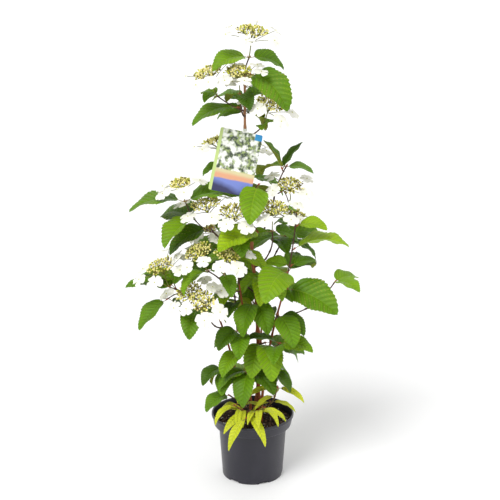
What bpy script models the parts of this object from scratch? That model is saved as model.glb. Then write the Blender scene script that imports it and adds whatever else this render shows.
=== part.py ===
"""A young lacecap viburnum, about a metre tall, in a round nursery pot with a plain hang tag.

Frame: metres, +Z up, origin at the middle of the pot's flat underside, +X to the right of the
plant's front and -Y towards its front. Azimuths run 0 right, 90 back, 180 left, 270 front.

Five stems stand on the soil, boughs leave them, and each mass of foliage is one fused solid: a
leading twig, its side shoots, pairs of leaves at the nodes, and a flat head of flowers at the tip.
"""

import math
import random
from collections import namedtuple

import bmesh
import bpy
import numpy as np
from mathutils.bvhtree import BVHTree

# Pot and soil
POT_HEIGHT = 0.151
POT_RIM_RADIUS = 0.095
POT_FOOT_RADIUS = 0.070
POT_SHOULDER_RADIUS = 0.0782
COLLAR_HEIGHT = 0.027
COLLAR_FOOT_RADIUS = 0.0888
POT_WALL = 0.0020
POT_FLOOR = 0.0035
POT_SIDES = 30
DRAINS = 6
DRAIN_WIDTH = 0.024
DRAIN_HEIGHT = 0.0055
DRAIN_FIRST_AZIMUTH = 292
SOIL_TOP = 0.134
SOIL_SIDES = 20
SOIL_LUMP = 0.0025
SOIL_LEVEL_RADIUS = 0.046

# Clearances and plant parts
GAP = 0.0003
FLAT_ANGLE = 0.01
ROOT_FLARE = 0.67
ROOT_FLARE_HEIGHT = 0.012
BOUGH_RINGS = 6
BOUGH_SIDES = 5
SIDE_LIFT = 0.35
LEADER_RADIUS = 0.0019
SHOOT_RADIUS = 0.0015
TWIG_TAPER = 0.72
SHORT_SHOOT = 0.02
PETIOLE_RADIUS = 0.0010
PETIOLE_SHARE = 0.13
LEAF_HALF_WIDTH = 0.32
YOUNG_HALF_WIDTH = 0.122
YOUNG_SWAY = 16
LEAF_SWAY = 7
LIGHT_ROLL = 18
LEAF_ROLL = 18
LEAF_THICKNESS = 0.016
LEAF_STATIONS = (0.18, 0.48, 0.78)
SMALL_LEAF = 0.086
SMALL_LEAF_STATIONS = (0.22, 0.64)
PETIOLE_LIFT = 8
FLAT_SPREAD = 50
NODE_SPAN = 0.8
LEAF_CLEARANCE = 0.0016
LIMB_ROOM = 0.0008
TWIG_ROOM = 0.0004
CAP_STALK = 0.032
USUAL_CAP = 0.062
CAP_STALK_RADIUS = 0.0012
RAY_RISE = 0.42
DISC_SIDES = 8
FLORETS = 6
FLORET_SIZE = 0.042
FLORET_THICKNESS = 0.0014
FLORET_ROOM = 0.001
FLORET_SHIFTS = ((0, 0.0), (13, 0.05), (-13, 0.05), (0, 0.16))
STALK_RADIUS = 0.0007

# Tag
TAG_WIDTH = 0.092
TAG_HEIGHT = 0.136
TAG_THICKNESS = 0.0012
TAG_LEAN = 12
TAG_TILT = 9
TAG_HANG_HEIGHT = 0.808
TAG_CORNER = 0.004
STRAP_WIDTH = 0.006
STRAP_THICKNESS = 0.0010

Stem = namedtuple(
    "Stem",
    "foot head bow radius tip_radius rings sides sway",
    defaults=(11, 6, (0.0, 0.0)),
)
Bough = namedtuple("Bough", "host height azimuth reach rise radius tip_radius")
Shoot = namedtuple(
    "Shoot",
    "on share azimuth reach rise pairs leaf turn pitch droop cap",
    defaults=(0, 0.0, None, 18, 70, 0.0),
)
Leaf = namedtuple("Leaf", "node azimuth pitch droop roll petiole length half_width fold")
Twig = namedtuple("Twig", "path radii facing")
Floret = namedtuple("Floret", "centre normal size turn root")
Cap = namedtuple("Cap", "hub axis across stalk places florets")
Foliage = namedtuple("Foliage", "twigs caps leaves")

TIP = None  # in place of a height: the mass grows on from its host's tip

# Each stem: foot (x, y) on the soil, head (x, y, z), bow (x, y), and radii
STEMS = {
    "trunk": Stem(
        (0.012, 0.000), (-0.017, 0.000, 0.925), (0.002, 0.003), 0.0052, 0.0026, 20, 8, (0.006, 0.0),
    ),
    "stem_right": Stem((0.018, -0.016), (0.068, -0.026, 0.450), (-0.010, -0.004), 0.0036, 0.0021),
    "stem_left": Stem((-0.022, -0.012), (-0.080, -0.020, 0.402), (0.010, -0.003), 0.0034, 0.0020),
    "stem_mid_left": Stem((-0.004, -0.020), (-0.030, -0.028, 0.470), (0.007, -0.004), 0.0033, 0.0019),
    "stem_back": Stem((0.004, 0.020), (0.022, 0.062, 0.400), (0.004, 0.006), 0.0034, 0.0020),
}

# Each bough: the stem it leaves, the height where it leaves, its azimuth, reach and rise, and radii
BOUGHS = {
    "bough_left_arm": Bough("trunk", 0.528, 187, 0.078, 0.050, 0.0023, 0.0017),
    "bough_right_arm": Bough("trunk", 0.565, 14, 0.048, 0.088, 0.0022, 0.0016),
    "bough_right_front": Bough("trunk", 0.500, 332, 0.036, 0.040, 0.0020, 0.0016),
    "bough_tag_side": Bough("trunk", 0.690, 165, 0.040, 0.026, 0.0019, 0.0015),
    "bough_left_high": Bough("stem_left", TIP, 183, 0.070, 0.044, 0.0019, 0.0015),
    "bough_left_low": Bough("stem_left", 0.365, 207, 0.036, 0.050, 0.0018, 0.0014),
    "bough_left_inner": Bough("stem_left", 0.270, 80, 0.020, 0.120, 0.0017, 0.0013),
    "bough_mid_left": Bough("stem_mid_left", 0.452, 206, 0.042, 0.030, 0.0018, 0.0014),
    "bough_right_outer": Bough("stem_right", 0.392, 352, 0.062, 0.022, 0.0018, 0.0014),
    "bough_back_high": Bough("trunk", 0.610, 95, 0.058, 0.052, 0.0021, 0.0016),
    "bough_back_left": Bough("trunk", 0.440, 138, 0.070, 0.050, 0.0021, 0.0016),
    "bough_back_right": Bough("trunk", 0.465, 48, 0.070, 0.054, 0.0021, 0.0016),
}

# Each mass: the limb it meets, the height where it meets it, and its shoots. The first shoot is
# the leader; the others say which shoot they leave and at what share of its length.
MASSES = {
    "foliage_crown_tip": ("trunk", TIP, (
        Shoot(None, 0, 0, 0.009, 0.037, pairs=1, leaf=0.080, turn=194, pitch=4, droop=64, cap=0.066),
        Shoot(0, 0.08, 322, 0.012, 0.001, pairs=1, leaf=0.114, turn=320, pitch=-16, droop=62),
    )),
    "foliage_upper_left": ("trunk", 0.850, (
        Shoot(None, 0, 184, 0.056, 0.032, pairs=1, leaf=0.050, cap=0.062),
        Shoot(0, 0.10, 225, 0.006, 0.004, pairs=1, leaf=0.100, turn=200, pitch=0, droop=62),
    )),
    "foliage_upper_front": ("trunk", 0.838, (
        Shoot(None, 0, 250, 0.026, 0.050, pairs=1, leaf=0.056, turn=306, pitch=-5, droop=60, cap=0.056),
    )),
    "foliage_upper_right": ("trunk", 0.792, (
        Shoot(None, 0, 338, 0.038, 0.028, pairs=1, leaf=0.042, droop=60, cap=0.060),
    )),
    "foliage_upper_back": ("trunk", 0.818, (
        Shoot(None, 0, 92, 0.044, 0.042, pairs=2, leaf=0.082, droop=75, cap=0.060),
    )),
    "foliage_tag_side": ("bough_tag_side", TIP, (
        Shoot(None, 0, 148, 0.014, 0.012, pairs=1, leaf=0.046, turn=190, pitch=-5, droop=60, cap=0.058),
    )),
    "foliage_front_hanging": ("trunk", 0.672, (
        Shoot(None, 0, 322, 0.026, 0.018, pairs=1, leaf=0.096, turn=258, pitch=-26, droop=54),
    )),
    "foliage_left_arm": ("bough_left_arm", TIP, (
        Shoot(None, 0, 190, 0.010, 0.014, pairs=1, leaf=0.094, turn=196, pitch=-12, droop=45, cap=0.066),
        Shoot(0, 0.30, 184, 0.062, 0.070, pairs=2, leaf=0.112, turn=192, pitch=8, droop=50, cap=0.046),
    )),
    "foliage_mid_left": ("stem_mid_left", TIP, (
        Shoot(None, 0, 200, 0.010, 0.112, pairs=2, leaf=0.078, turn=262, pitch=5, droop=80, cap=0.066),
    )),
    "foliage_mid_left_front": ("bough_mid_left", TIP, (
        Shoot(None, 0, 196, 0.032, 0.026, pairs=1, leaf=0.070, turn=214, pitch=-10, droop=70, cap=0.060),
        Shoot(0, 0.30, 304, 0.022, 0.014, pairs=1, leaf=0.064, turn=285, pitch=-15, droop=70, cap=0.056),
    )),
    "foliage_right_arm": ("bough_right_arm", TIP, (
        Shoot(None, 0, 4, 0.026, 0.070, pairs=1, leaf=0.062, turn=350, pitch=4, droop=54),
        Shoot(0, 0.12, 338, 0.012, 0.006, pairs=1, leaf=0.086, turn=334, pitch=6, droop=58),
        Shoot(0, 0.30, 34, 0.034, -0.034, cap=0.052),
        Shoot(0, 0.86, 196, 0.003, 0.004, pairs=1, leaf=0.068, turn=194, pitch=62, droop=18),
    )),
    "foliage_right_front": ("bough_right_front", TIP, (
        Shoot(None, 0, 330, 0.006, 0.046, pairs=1, leaf=0.070, turn=20, pitch=0, droop=60, cap=0.066),
    )),
    "foliage_centre_light": ("trunk", 0.596, (
        Shoot(None, 0, 292, 0.038, -0.004, pairs=1, leaf=0.112, turn=212, pitch=2, droop=36),
    )),
    "foliage_right_top": ("stem_right", TIP, (
        Shoot(None, 0, 12, 0.028, 0.178, pairs=1, leaf=0.040, turn=30, pitch=55, droop=40),
        Shoot(0, 0.84, 350, 0.003, 0.002, pairs=1, leaf=0.062, turn=340, pitch=20, droop=70),
        Shoot(0, 0.56, 355, 0.003, 0.002, pairs=1, leaf=0.118, turn=358, pitch=20, droop=56),
        Shoot(0, 0.34, 30, 0.003, 0.002, pairs=1, leaf=0.060, turn=28, pitch=25, droop=40),
        Shoot(0, 0.26, 262, 0.003, 0.002, pairs=1, leaf=0.118, turn=240, pitch=10, droop=62),
        Shoot(0, 0.03, 340, 0.004, 0.002, pairs=1, leaf=0.128, turn=342, pitch=-8, droop=40),
    )),
    "foliage_right_outer": ("bough_right_outer", TIP, (
        Shoot(None, 0, 358, 0.062, 0.062, pairs=1, leaf=0.076, pitch=16, droop=54),
    )),
    "foliage_right_low": ("stem_right", 0.318, (
        Shoot(None, 0, 322, 0.024, 0.016, pairs=2, leaf=0.076, turn=338, pitch=5, droop=55),
    )),
    "foliage_right_inner": ("stem_right", 0.392, (
        Shoot(None, 0, 276, 0.018, 0.012, pairs=2, leaf=0.080, turn=296, pitch=-8, droop=66),
    )),
    "foliage_left_high": ("bough_left_high", TIP, (
        Shoot(None, 0, 182, 0.034, 0.014, pairs=2, leaf=0.094, turn=188, pitch=28, droop=60, cap=0.064),
        Shoot(0, 0.40, 150, 0.014, 0.018, pairs=1, leaf=0.062, turn=168, pitch=20, droop=40),
        Shoot(0, 0.08, 198, 0.036, -0.010, pairs=1, leaf=0.086, turn=206, pitch=-38, droop=28),
    )),
    "foliage_left_low": ("bough_left_low", TIP, (
        Shoot(None, 0, 206, 0.022, 0.002, pairs=1, leaf=0.080, turn=252, pitch=0, droop=78, cap=0.058),
        Shoot(0, 0.40, 268, 0.018, -0.006, pairs=1, leaf=0.062, turn=206, pitch=-10, droop=60, cap=0.054),
    )),
    "foliage_left_inner": ("bough_left_inner", TIP, (
        Shoot(None, 0, 120, 0.008, 0.052, pairs=3, leaf=0.068, turn=250, pitch=8, droop=70),
    )),
    "foliage_mid_stem_left": ("stem_mid_left", 0.352, (
        Shoot(None, 0, 222, 0.020, 0.012, pairs=2, leaf=0.074, turn=232, pitch=0, droop=74),
    )),
    "foliage_centre_right": ("trunk", 0.474, (
        Shoot(None, 0, 322, 0.022, 0.010, pairs=2, leaf=0.080, turn=332, pitch=-5, droop=66),
    )),
    "foliage_right_base": ("stem_right", 0.256, (
        Shoot(None, 0, 300, 0.020, 0.012, pairs=2, leaf=0.062, turn=322, pitch=-5, droop=70),
    )),
    "foliage_mid_stem_low": ("stem_mid_left", 0.302, (
        Shoot(None, 0, 214, 0.018, 0.012, pairs=2, leaf=0.070, turn=236, pitch=-5, droop=72),
    )),
    "foliage_centre_low": ("trunk", 0.412, (
        Shoot(None, 0, 252, 0.018, 0.012, pairs=2, leaf=0.088, turn=256, pitch=-12, droop=80),
    )),
    "foliage_centre_lower": ("trunk", 0.318, (
        Shoot(None, 0, 304, 0.022, 0.010, pairs=2, leaf=0.102, turn=300, pitch=-5, droop=75),
    )),
    "foliage_low_left": ("stem_left", 0.262, (
        Shoot(None, 0, 205, 0.028, 0.010, pairs=2, leaf=0.062, turn=222, pitch=0, droop=70),
    )),
    "foliage_low_front": ("stem_mid_left", 0.256, (
        Shoot(None, 0, 255, 0.014, 0.014, pairs=2, leaf=0.086, turn=262, pitch=-5, droop=84),
    )),
    "foliage_pot_edge": ("stem_left", 0.190, (
        Shoot(None, 0, 212, 0.024, 0.014, pairs=1, leaf=0.064, turn=206, pitch=10, droop=75),
    )),
    "young_shoots_front": ("stem_mid_left", 0.166, (
        Shoot(None, 0, 262, 0.064, 0.010, pairs=3, leaf=0.084, turn=248, pitch=-14, droop=70),
        Shoot(0, 0.20, 208, 0.036, 0.020, pairs=3, leaf=0.062, turn=226, pitch=14, droop=88),
        Shoot(0, 0.24, 318, 0.042, 0.020, pairs=3, leaf=0.066, turn=304, pitch=12, droop=84),
    )),
    "young_shoots_right": ("stem_right", 0.172, (
        Shoot(None, 0, 336, 0.034, 0.052, pairs=3, leaf=0.068, turn=346, pitch=4, droop=62),
    )),
    "foliage_back_high": ("bough_back_high", TIP, (
        Shoot(None, 0, 98, 0.020, 0.040, pairs=2, leaf=0.092, turn=70, pitch=10, droop=75, cap=0.064),
    )),
    "foliage_back_left": ("bough_back_left", TIP, (
        Shoot(None, 0, 140, 0.030, 0.026, pairs=2, leaf=0.096, turn=150, pitch=5, droop=70, cap=0.062),
        Shoot(0, 0.30, 80, 0.026, 0.010, pairs=1, leaf=0.080, turn=70),
    )),
    "foliage_back_right": ("bough_back_right", TIP, (
        Shoot(None, 0, 44, 0.030, 0.030, pairs=2, leaf=0.094, turn=30, pitch=5, droop=70, cap=0.062),
        Shoot(0, 0.30, 110, 0.026, 0.010, pairs=1, leaf=0.080, turn=100),
    )),
    "foliage_back_middle": ("stem_back", TIP, (
        Shoot(None, 0, 80, 0.020, 0.060, pairs=2, leaf=0.092, turn=60, pitch=10, droop=75),
        Shoot(0, 0.25, 10, 0.024, 0.008, pairs=1, leaf=0.080, turn=5),
    )),
    "foliage_back_low": ("stem_back", 0.235, (
        Shoot(None, 0, 75, 0.022, 0.016, pairs=2, leaf=0.086, turn=80, pitch=0, droop=75),
    )),
    "foliage_back_low_left": ("trunk", 0.225, (
        Shoot(None, 0, 150, 0.026, 0.014, pairs=2, leaf=0.080, turn=145, pitch=0, droop=75),
    )),
}


# Paths and directions

def unit(vector):
    return vector / np.linalg.norm(vector)


def direction(azimuth, pitch=0.0):
    """Unit vector at an azimuth and a pitch above level, in degrees."""
    turn, lift = math.radians(azimuth), math.radians(pitch)
    return np.array([math.cos(turn) * math.cos(lift), math.sin(turn) * math.cos(lift), math.sin(lift)])


def arc(start, heading, end, count):
    """Quadratic curve that leaves start along heading and arrives at end: (1-t)^2 A + 2t(1-t) C + t^2 B."""
    control = start + heading * 0.45 * np.linalg.norm(end - start)
    t = np.linspace(0, 1, count)[:, None]
    return (1 - t) ** 2 * start + 2 * t * (1 - t) * control + t**2 * end


def tangents(path):
    steps = np.gradient(path, axis=0)
    return steps / np.linalg.norm(steps, axis=1)[:, None]


def point_at(twig, share):
    """Point, tangent and radius of a twig at a share of its length."""
    place = share * (len(twig.path) - 1)
    index = np.arange(len(twig.path))
    slopes = tangents(twig.path)
    point = np.array([np.interp(place, index, twig.path[:, axis]) for axis in range(3)])
    slope = np.array([np.interp(place, index, slopes[:, axis]) for axis in range(3)])
    return point, unit(slope), float(np.interp(place, index, twig.radii))


def side_root(host, height, azimuth, clearance):
    """Where a limb leaves a stem's side at a height: a point clear of the bark, and the way it faces."""
    share = float(np.interp(height, host.path[:, 2], np.linspace(0, 1, len(host.path))))
    point, slope, radius = point_at(host, share)
    out = direction(azimuth)
    out = unit(out - slope * (out @ slope))
    return point + out * (radius + clearance), out


# Limbs

def stem_twig(stem):
    """Stem along foot + (head - foot) t + bow sin(pi t) + sway sin(2 pi t), flared at the soil."""
    t = np.concatenate([[0, 0.006, 0.016, 0.032], np.linspace(0.06, 1, stem.rings - 4)])
    foot = np.array([*stem.foot, SOIL_TOP + GAP])
    path = foot + (np.array(stem.head) - foot) * t[:, None]
    for bend, turns in ((stem.bow, 1), (stem.sway, 2)):
        path[:, :2] += np.array(bend) * np.sin(turns * math.pi * t)[:, None]
    radii = stem.tip_radius + (stem.radius - stem.tip_radius) * (1 - t) ** 1.2
    radii = radii + ROOT_FLARE * stem.radius * np.exp(-(path[:, 2] - foot[2]) / ROOT_FLARE_HEIGHT)
    return Twig(path, radii, np.array([0.0, 0.0, 1.0]))


def bough_twig(bough, host):
    """One tapering limb from its stem's side, or on from its tip, that ends where it enters a mass."""
    if bough.height is TIP:
        slope = tangents(host.path)[-1]
        root, facing = host.path[-1] + slope * GAP, slope
        heading = unit(slope + direction(bough.azimuth))
    else:
        root, facing = side_root(host, bough.height, bough.azimuth, GAP)
        heading = unit(facing + np.array([0, 0, SIDE_LIFT]))
    end = root + direction(bough.azimuth) * bough.reach + np.array([0, 0, bough.rise])
    path = arc(root, heading, end, BOUGH_RINGS)
    return Twig(path, np.linspace(bough.radius, bough.tip_radius, BOUGH_RINGS), facing)


def shoot_twigs(host, height, shoots):
    """The leader from its host, then each side shoot from the shoot that it names."""
    twigs = []
    for shoot in shoots:
        out = direction(shoot.azimuth)
        if shoot.on is None:
            if height is TIP:
                slope = tangents(host.path)[-1]
                root, facing, heading = host.path[-1] + slope * GAP, slope, slope
            else:
                root, facing = side_root(host, height, shoot.azimuth, GAP)
                heading = unit(facing + np.array([0, 0, SIDE_LIFT]))
            radius = LEADER_RADIUS
        else:
            root, slope, _ = point_at(twigs[shoot.on], shoot.share)
            heading = unit(slope * 0.4 + out)
            facing, radius = heading, SHOOT_RADIUS
        end = root + out * shoot.reach + np.array([0, 0, shoot.rise])
        count = 3 if np.linalg.norm(end - root) < SHORT_SHOOT else 4
        twigs.append(Twig(arc(root, heading, end, count), np.linspace(1, TWIG_TAPER, count) * radius, facing))
    return twigs


# Leaves

def leaf_frame(leaf, shares):
    """Midrib points, side and normal vectors of a leaf at shares of its length.

    The midrib leaves the petiole at the leaf's pitch, which falls by droop s^1.2 on the way to the
    tip, so its points are the running sum of cos(pitch) outwards and sin(pitch) upwards.
    """
    fine = np.linspace(0, 1, 33)
    pitch = np.radians(leaf.pitch - leaf.droop * fine**1.2)
    out, up = direction(leaf.azimuth), np.array([0.0, 0.0, 1.0])
    slope = np.cos(pitch)[:, None] * out + np.sin(pitch)[:, None] * up
    steps = (slope[1:] + slope[:-1]) / 2 * leaf.length / 32
    base = leaf.node + direction(leaf.azimuth, leaf.pitch + PETIOLE_LIFT) * leaf.petiole
    points = base + np.concatenate([np.zeros((1, 3)), np.cumsum(steps, axis=0)])
    normal = -np.sin(pitch)[:, None] * out + np.cos(pitch)[:, None] * up
    side = np.broadcast_to(direction(leaf.azimuth + 90), normal.shape)
    roll = math.radians(leaf.roll)
    rolled_side = side * math.cos(roll) + normal * math.sin(roll)
    rolled_normal = normal * math.cos(roll) - side * math.sin(roll)
    found = (points, rolled_side, rolled_normal)
    return [np.stack([np.interp(shares, fine, each[:, axis]) for axis in range(3)], 1) for each in found]


def half_width(leaf, shares):
    """Half the blade's width: an ovate outline, 2.49 s^0.5 (1 - s)^0.9 of its greatest half width."""
    return leaf.half_width * 2.49 * shares**0.5 * (1 - shares) ** 0.9


def leaf_solid(leaf, thickness, margin=0.0):
    """Closed thin blade on its three-sided petiole: a V section at each station, drawn to a point."""
    stations = np.array(LEAF_STATIONS if leaf.length > SMALL_LEAF else SMALL_LEAF_STATIONS)
    mid, side, normal = leaf_frame(leaf, stations)
    reach = (half_width(leaf, stations) + margin)[:, None]
    fold = math.radians(leaf.fold)
    edge = normal * reach * math.sin(fold)
    left = mid - side * reach * math.cos(fold) + edge
    right = mid + side * reach * math.cos(fold) + edge
    half = normal * thickness / 2
    sections = np.stack([left, mid + half, right, mid - half], 1)
    tip = leaf_frame(leaf, np.array([1.0]))[0]
    (base,), (base_side,), (base_normal,) = leaf_frame(leaf, np.array([0.0]))
    corners = []
    for place in (leaf.node, base):
        for turn in (150, 30, 270):
            sway = math.radians(turn)
            spoke = base_side * math.cos(sway) + base_normal * math.sin(sway)
            corners.append(place + spoke * PETIOLE_RADIUS)
    points = np.concatenate([corners, sections.reshape(-1, 3), tip])
    # Points 0-2 are the petiole's foot, 3-5 its end, then four for each station, then the tip
    faces = [(0, 1, 2)] + ring_strip(0, 3, 3)
    faces += [(3, 6, 7), (3, 7, 4), (4, 7, 8), (4, 8, 9), (4, 9, 5), (5, 9, 6), (5, 6, 3)]
    for station in range(len(stations) - 1):
        faces += ring_strip(6 + 4 * station, 10 + 4 * station, 4)
    last = 6 + 4 * (len(stations) - 1)
    faces += [(last + k, len(points) - 1, last + (k + 1) % 4) for k in range(4)]
    return outward(points, faces)


def ring_strip(first, second, count):
    """Triangles between two rings of points that start at these indices."""
    faces = []
    for k in range(count):
        a, b = first + k, first + (k + 1) % count
        c, d = second + k, second + (k + 1) % count
        faces += [(a, c, d), (a, d, b)]
    return faces


def end_caps(first, last, count):
    """Fans that close a run of ring strips at its first ring and at its last."""
    faces = [(first, first + k, first + k + 1) for k in range(1, count - 1)]
    return faces + [(last, last + k + 1, last + k) for k in range(1, count - 1)]


def outward(points, faces):
    """The same closed mesh with its faces turned to point outwards."""
    points, faces = np.asarray(points, float), np.asarray(faces, int)
    first, second, third = (points[faces[:, corner]] for corner in range(3))
    volume = np.einsum("ij,ij->i", first, np.cross(second, third)).sum()
    return points, faces if volume > 0 else faces[:, ::-1]


def tube(path, radii, sides, facing=None):
    """Closed tapering tube along a path, whose first ring lies square to facing."""
    slopes = tangents(path)
    if facing is not None:
        slopes[0] = facing
    helper = np.array([0.0, 0.0, 1.0]) if abs(slopes[0][2]) < 0.8 else np.array([1.0, 0.0, 0.0])
    across = unit(np.cross(slopes[0], helper))
    angles = np.arange(sides) * 2 * math.pi / sides
    points = []
    for place, slope, radius in zip(path, slopes, radii):
        across = unit(across - slope * (across @ slope))
        other = np.cross(slope, across)
        ring = np.cos(angles)[:, None] * across + np.sin(angles)[:, None] * other
        points.append(place + ring * radius)
    faces = []
    for ring in range(len(path) - 1):
        faces += ring_strip(ring * sides, (ring + 1) * sides, sides)
    faces += end_caps(0, (len(path) - 1) * sides, sides)
    return outward(np.concatenate(points), faces)


# Lacecaps: a domed disc of small flowers on rays, with large flat florets round it

def frame_across(axis, turn):
    """Two unit vectors square to an axis, turned about it by so many degrees."""
    helper = np.array([0.0, 1.0, 0.0]) if abs(axis[1]) < 0.9 else np.array([1.0, 0.0, 0.0])
    first = unit(np.cross(helper, axis))
    second = np.cross(axis, first)
    share, rest = math.cos(math.radians(turn)), math.sin(math.radians(turn))
    return first * share + second * rest, second * share - first * rest


def cap_on(twig, across, seed):
    """The lacecap at a shoot's tip, on a stalk that bends up and forwards, and its florets' places."""
    rng = random.Random(seed)
    slope = tangents(twig.path)[-1]
    axis = unit(slope * 0.45 + np.array([rng.uniform(-0.12, 0.12), rng.uniform(-0.48, -0.14), 1.0]))
    tip = twig.path[-1]
    hub = tip + axis * CAP_STALK * (0.6 + 0.4 * across / USUAL_CAP)
    disc_middle = hub + axis * RAY_RISE * across * 1.04
    stalk = np.concatenate([arc(tip - slope * 0.001, unit(slope + axis), hub, 3), [disc_middle]])
    first_turn = rng.uniform(0, 45)
    places = []
    for k in range(FLORETS):
        turn = first_turn + k * 360 / FLORETS + rng.uniform(-10, 10)
        spread, lift, tilt = rng.uniform(0.76, 0.92), rng.uniform(0.24, 0.42), rng.uniform(0.20, 0.60)
        size, spin = FLORET_SIZE * rng.uniform(0.86, 1.08), rng.uniform(0, 72)
        root = hub + axis * across * 0.18 * (k * 5 % FLORETS) / FLORETS
        choices = []
        for shift, further in FLORET_SHIFTS:
            out, _ = frame_across(axis, turn + shift)
            centre = hub + (out * (spread + further) + axis * lift) * across
            choices.append(Floret(centre, unit(axis + out * tilt), size, spin, root))
        places.append(choices)
    return Cap(hub, axis, across, stalk, places, [])


def floret_outline(floret, margin=0.0):
    """Ten points round a five-lobed flower, its lobes' tips sunk a little."""
    first, second = frame_across(floret.normal, floret.turn)
    angles = np.radians(np.arange(10) * 36)
    reach = np.where(np.arange(10) % 2 == 0, 0.5, 0.30) * floret.size + margin
    sink = np.where(np.arange(10) % 2 == 0, 0.06, 0.0) * floret.size
    ring = first * (np.cos(angles) * reach)[:, None] + second * (np.sin(angles) * reach)[:, None]
    return floret.centre + ring - floret.normal * sink[:, None]


def double_cone(ring, low, high):
    """Closed solid from a ring of points to a point below it and a point above it."""
    count = len(ring)
    faces = [(k, (k + 1) % count, count) for k in range(count)]
    faces += [((k + 1) % count, k, count + 1) for k in range(count)]
    return outward(np.concatenate([ring, [high, low]]), faces)


def floret_space(floret):
    """The flower made thicker, and the outer half of its stalk, for finding clear space."""
    room = floret.normal * FLORET_ROOM * 2
    flower = double_cone(floret_outline(floret, FLORET_ROOM), floret.centre - room, floret.centre + room)
    beyond_disc = floret.root + (floret.centre - floret.root) * 0.3
    stalk = tube(np.array([beyond_disc, floret.centre]), np.full(2, STALK_RADIUS + TWIG_ROOM), 3)
    return flower, stalk


def floret_solid(floret):
    """Flat five-lobed flower drawn to a point above, on its own three-sided stalk."""
    outline = floret_outline(floret)
    first, second = frame_across(floret.normal, floret.turn)
    angles = np.radians((36, 156, 276))
    collar = first * np.cos(angles)[:, None] + second * np.sin(angles)[:, None]
    neck = floret.centre - floret.normal * FLORET_THICKNESS + collar * STALK_RADIUS
    along = unit(floret.centre - floret.root)
    collar = collar - along * (collar @ along)[:, None]
    foot = floret.root + collar / np.linalg.norm(collar, axis=1)[:, None] * STALK_RADIUS
    points = np.concatenate([outline, [floret.centre], neck, foot])
    # Points 0-9 are the outline, 10 the top, 11-13 the neck under the flower, 14-16 the stalk's foot
    faces = [(k, (k + 1) % 10, 10) for k in range(10)]
    owner = (11, 11, 11, 12, 12, 12, 13, 13, 13, 11)
    for k in range(10):
        after = (k + 1) % 10
        faces.append((after, k, owner[k]))
        if owner[after] != owner[k]:
            faces.append((after, owner[k], owner[after]))
    faces += [face[::-1] for face in ring_strip(14, 11, 3)]
    return outward(points, faces + [(14, 16, 15)])


def disc_solid(cap):
    """The dome of small flowers: lumpy rim, shoulder ring, top and underside centre."""
    first, second = frame_across(cap.axis, 0)
    count = DISC_SIDES
    angles = np.arange(count) * 2 * math.pi / count
    wave = 1 + 0.07 * np.cos(angles * count / 2)
    points = []
    for reach, lift, lumpy in ((0.50, 0.98, 1), (0.33, 1.16, 0)):
        size = reach * cap.across * (wave if lumpy else 1 / wave)
        ring = first * (np.cos(angles) * size)[:, None] + second * (np.sin(angles) * size)[:, None]
        points.append(cap.hub + ring + cap.axis * lift * RAY_RISE * cap.across)
    middles = [cap.hub + cap.axis * lift * RAY_RISE * cap.across for lift in (1.24, 0.84)]
    faces = ring_strip(0, count, count)
    faces += [(count + k, count * 2, count + (k + 1) % count) for k in range(count)]
    faces += [((k + 1) % count, count * 2 + 1, k) for k in range(count)]
    return outward(np.concatenate(points + [middles]), faces)


def cap_solids(cap):
    """Stalk, disc and florets of one lacecap, ready to be fused."""
    stalk = tube(cap.stalk, np.full(len(cap.stalk), CAP_STALK_RADIUS), 3)
    return [stalk, disc_solid(cap)] + [floret_solid(floret) for floret in cap.florets]


def cap_space(cap):
    """Closed cone over a lacecap's disc and the middle of its florets' stalks, and its own stalk."""
    first, second = frame_across(cap.axis, 0)
    angles = np.arange(DISC_SIDES) * 2 * math.pi / DISC_SIDES
    size = 0.54 * cap.across
    ring = first * (np.cos(angles) * size)[:, None] + second * (np.sin(angles) * size)[:, None]
    ring = cap.hub + ring + cap.axis * RAY_RISE * cap.across
    cone = double_cone(ring, cap.hub, cap.hub + cap.axis * RAY_RISE * cap.across * 1.4)
    return cone, tube(cap.stalk[:3], np.full(3, CAP_STALK_RADIUS + TWIG_ROOM), 3)


# Growth: limbs, then twigs, then flower heads, then leaves that find clear space

class Thicket:
    """What has grown so far, as meshes with their boxes, so that a new leaf can be kept clear of it."""

    def __init__(self):
        self.grown = []

    def add(self, solid):
        points, faces = solid
        tree = BVHTree.FromPolygons(points.tolist(), faces.tolist(), all_triangles=True)
        self.grown.append((points.min(0), points.max(0), tree))

    def take(self, *solids):
        """Adds these solids if nothing is in their way, and says whether it did."""
        if not all(self.clear(solid) for solid in solids):
            return False
        for solid in solids:
            self.add(solid)
        return True

    def clear(self, solid):
        points, faces = solid
        low, high = points.min(0), points.max(0)
        tree = None
        for other_low, other_high, other in self.grown:
            if (low > other_high).any() or (high < other_low).any():
                continue
            tree = tree or BVHTree.FromPolygons(points.tolist(), faces.tolist(), all_triangles=True)
            if tree.overlap(other):
                return False
        return True


def leaf_choices(leaf):
    """The leaf as it would grow, then turned, lifted or made smaller, in the order that is tried."""
    turns = ((0, 0), (16, 0), (-16, 0), (0, -18), (0, 16), (32, -8), (-32, -8), (30, 20), (-30, 20))
    for scale in (1.0, 0.82):
        for turn, lift in turns:
            yield leaf._replace(
                azimuth=leaf.azimuth + turn,
                pitch=leaf.pitch + lift,
                length=leaf.length * scale,
                half_width=leaf.half_width * scale,
            )


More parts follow.
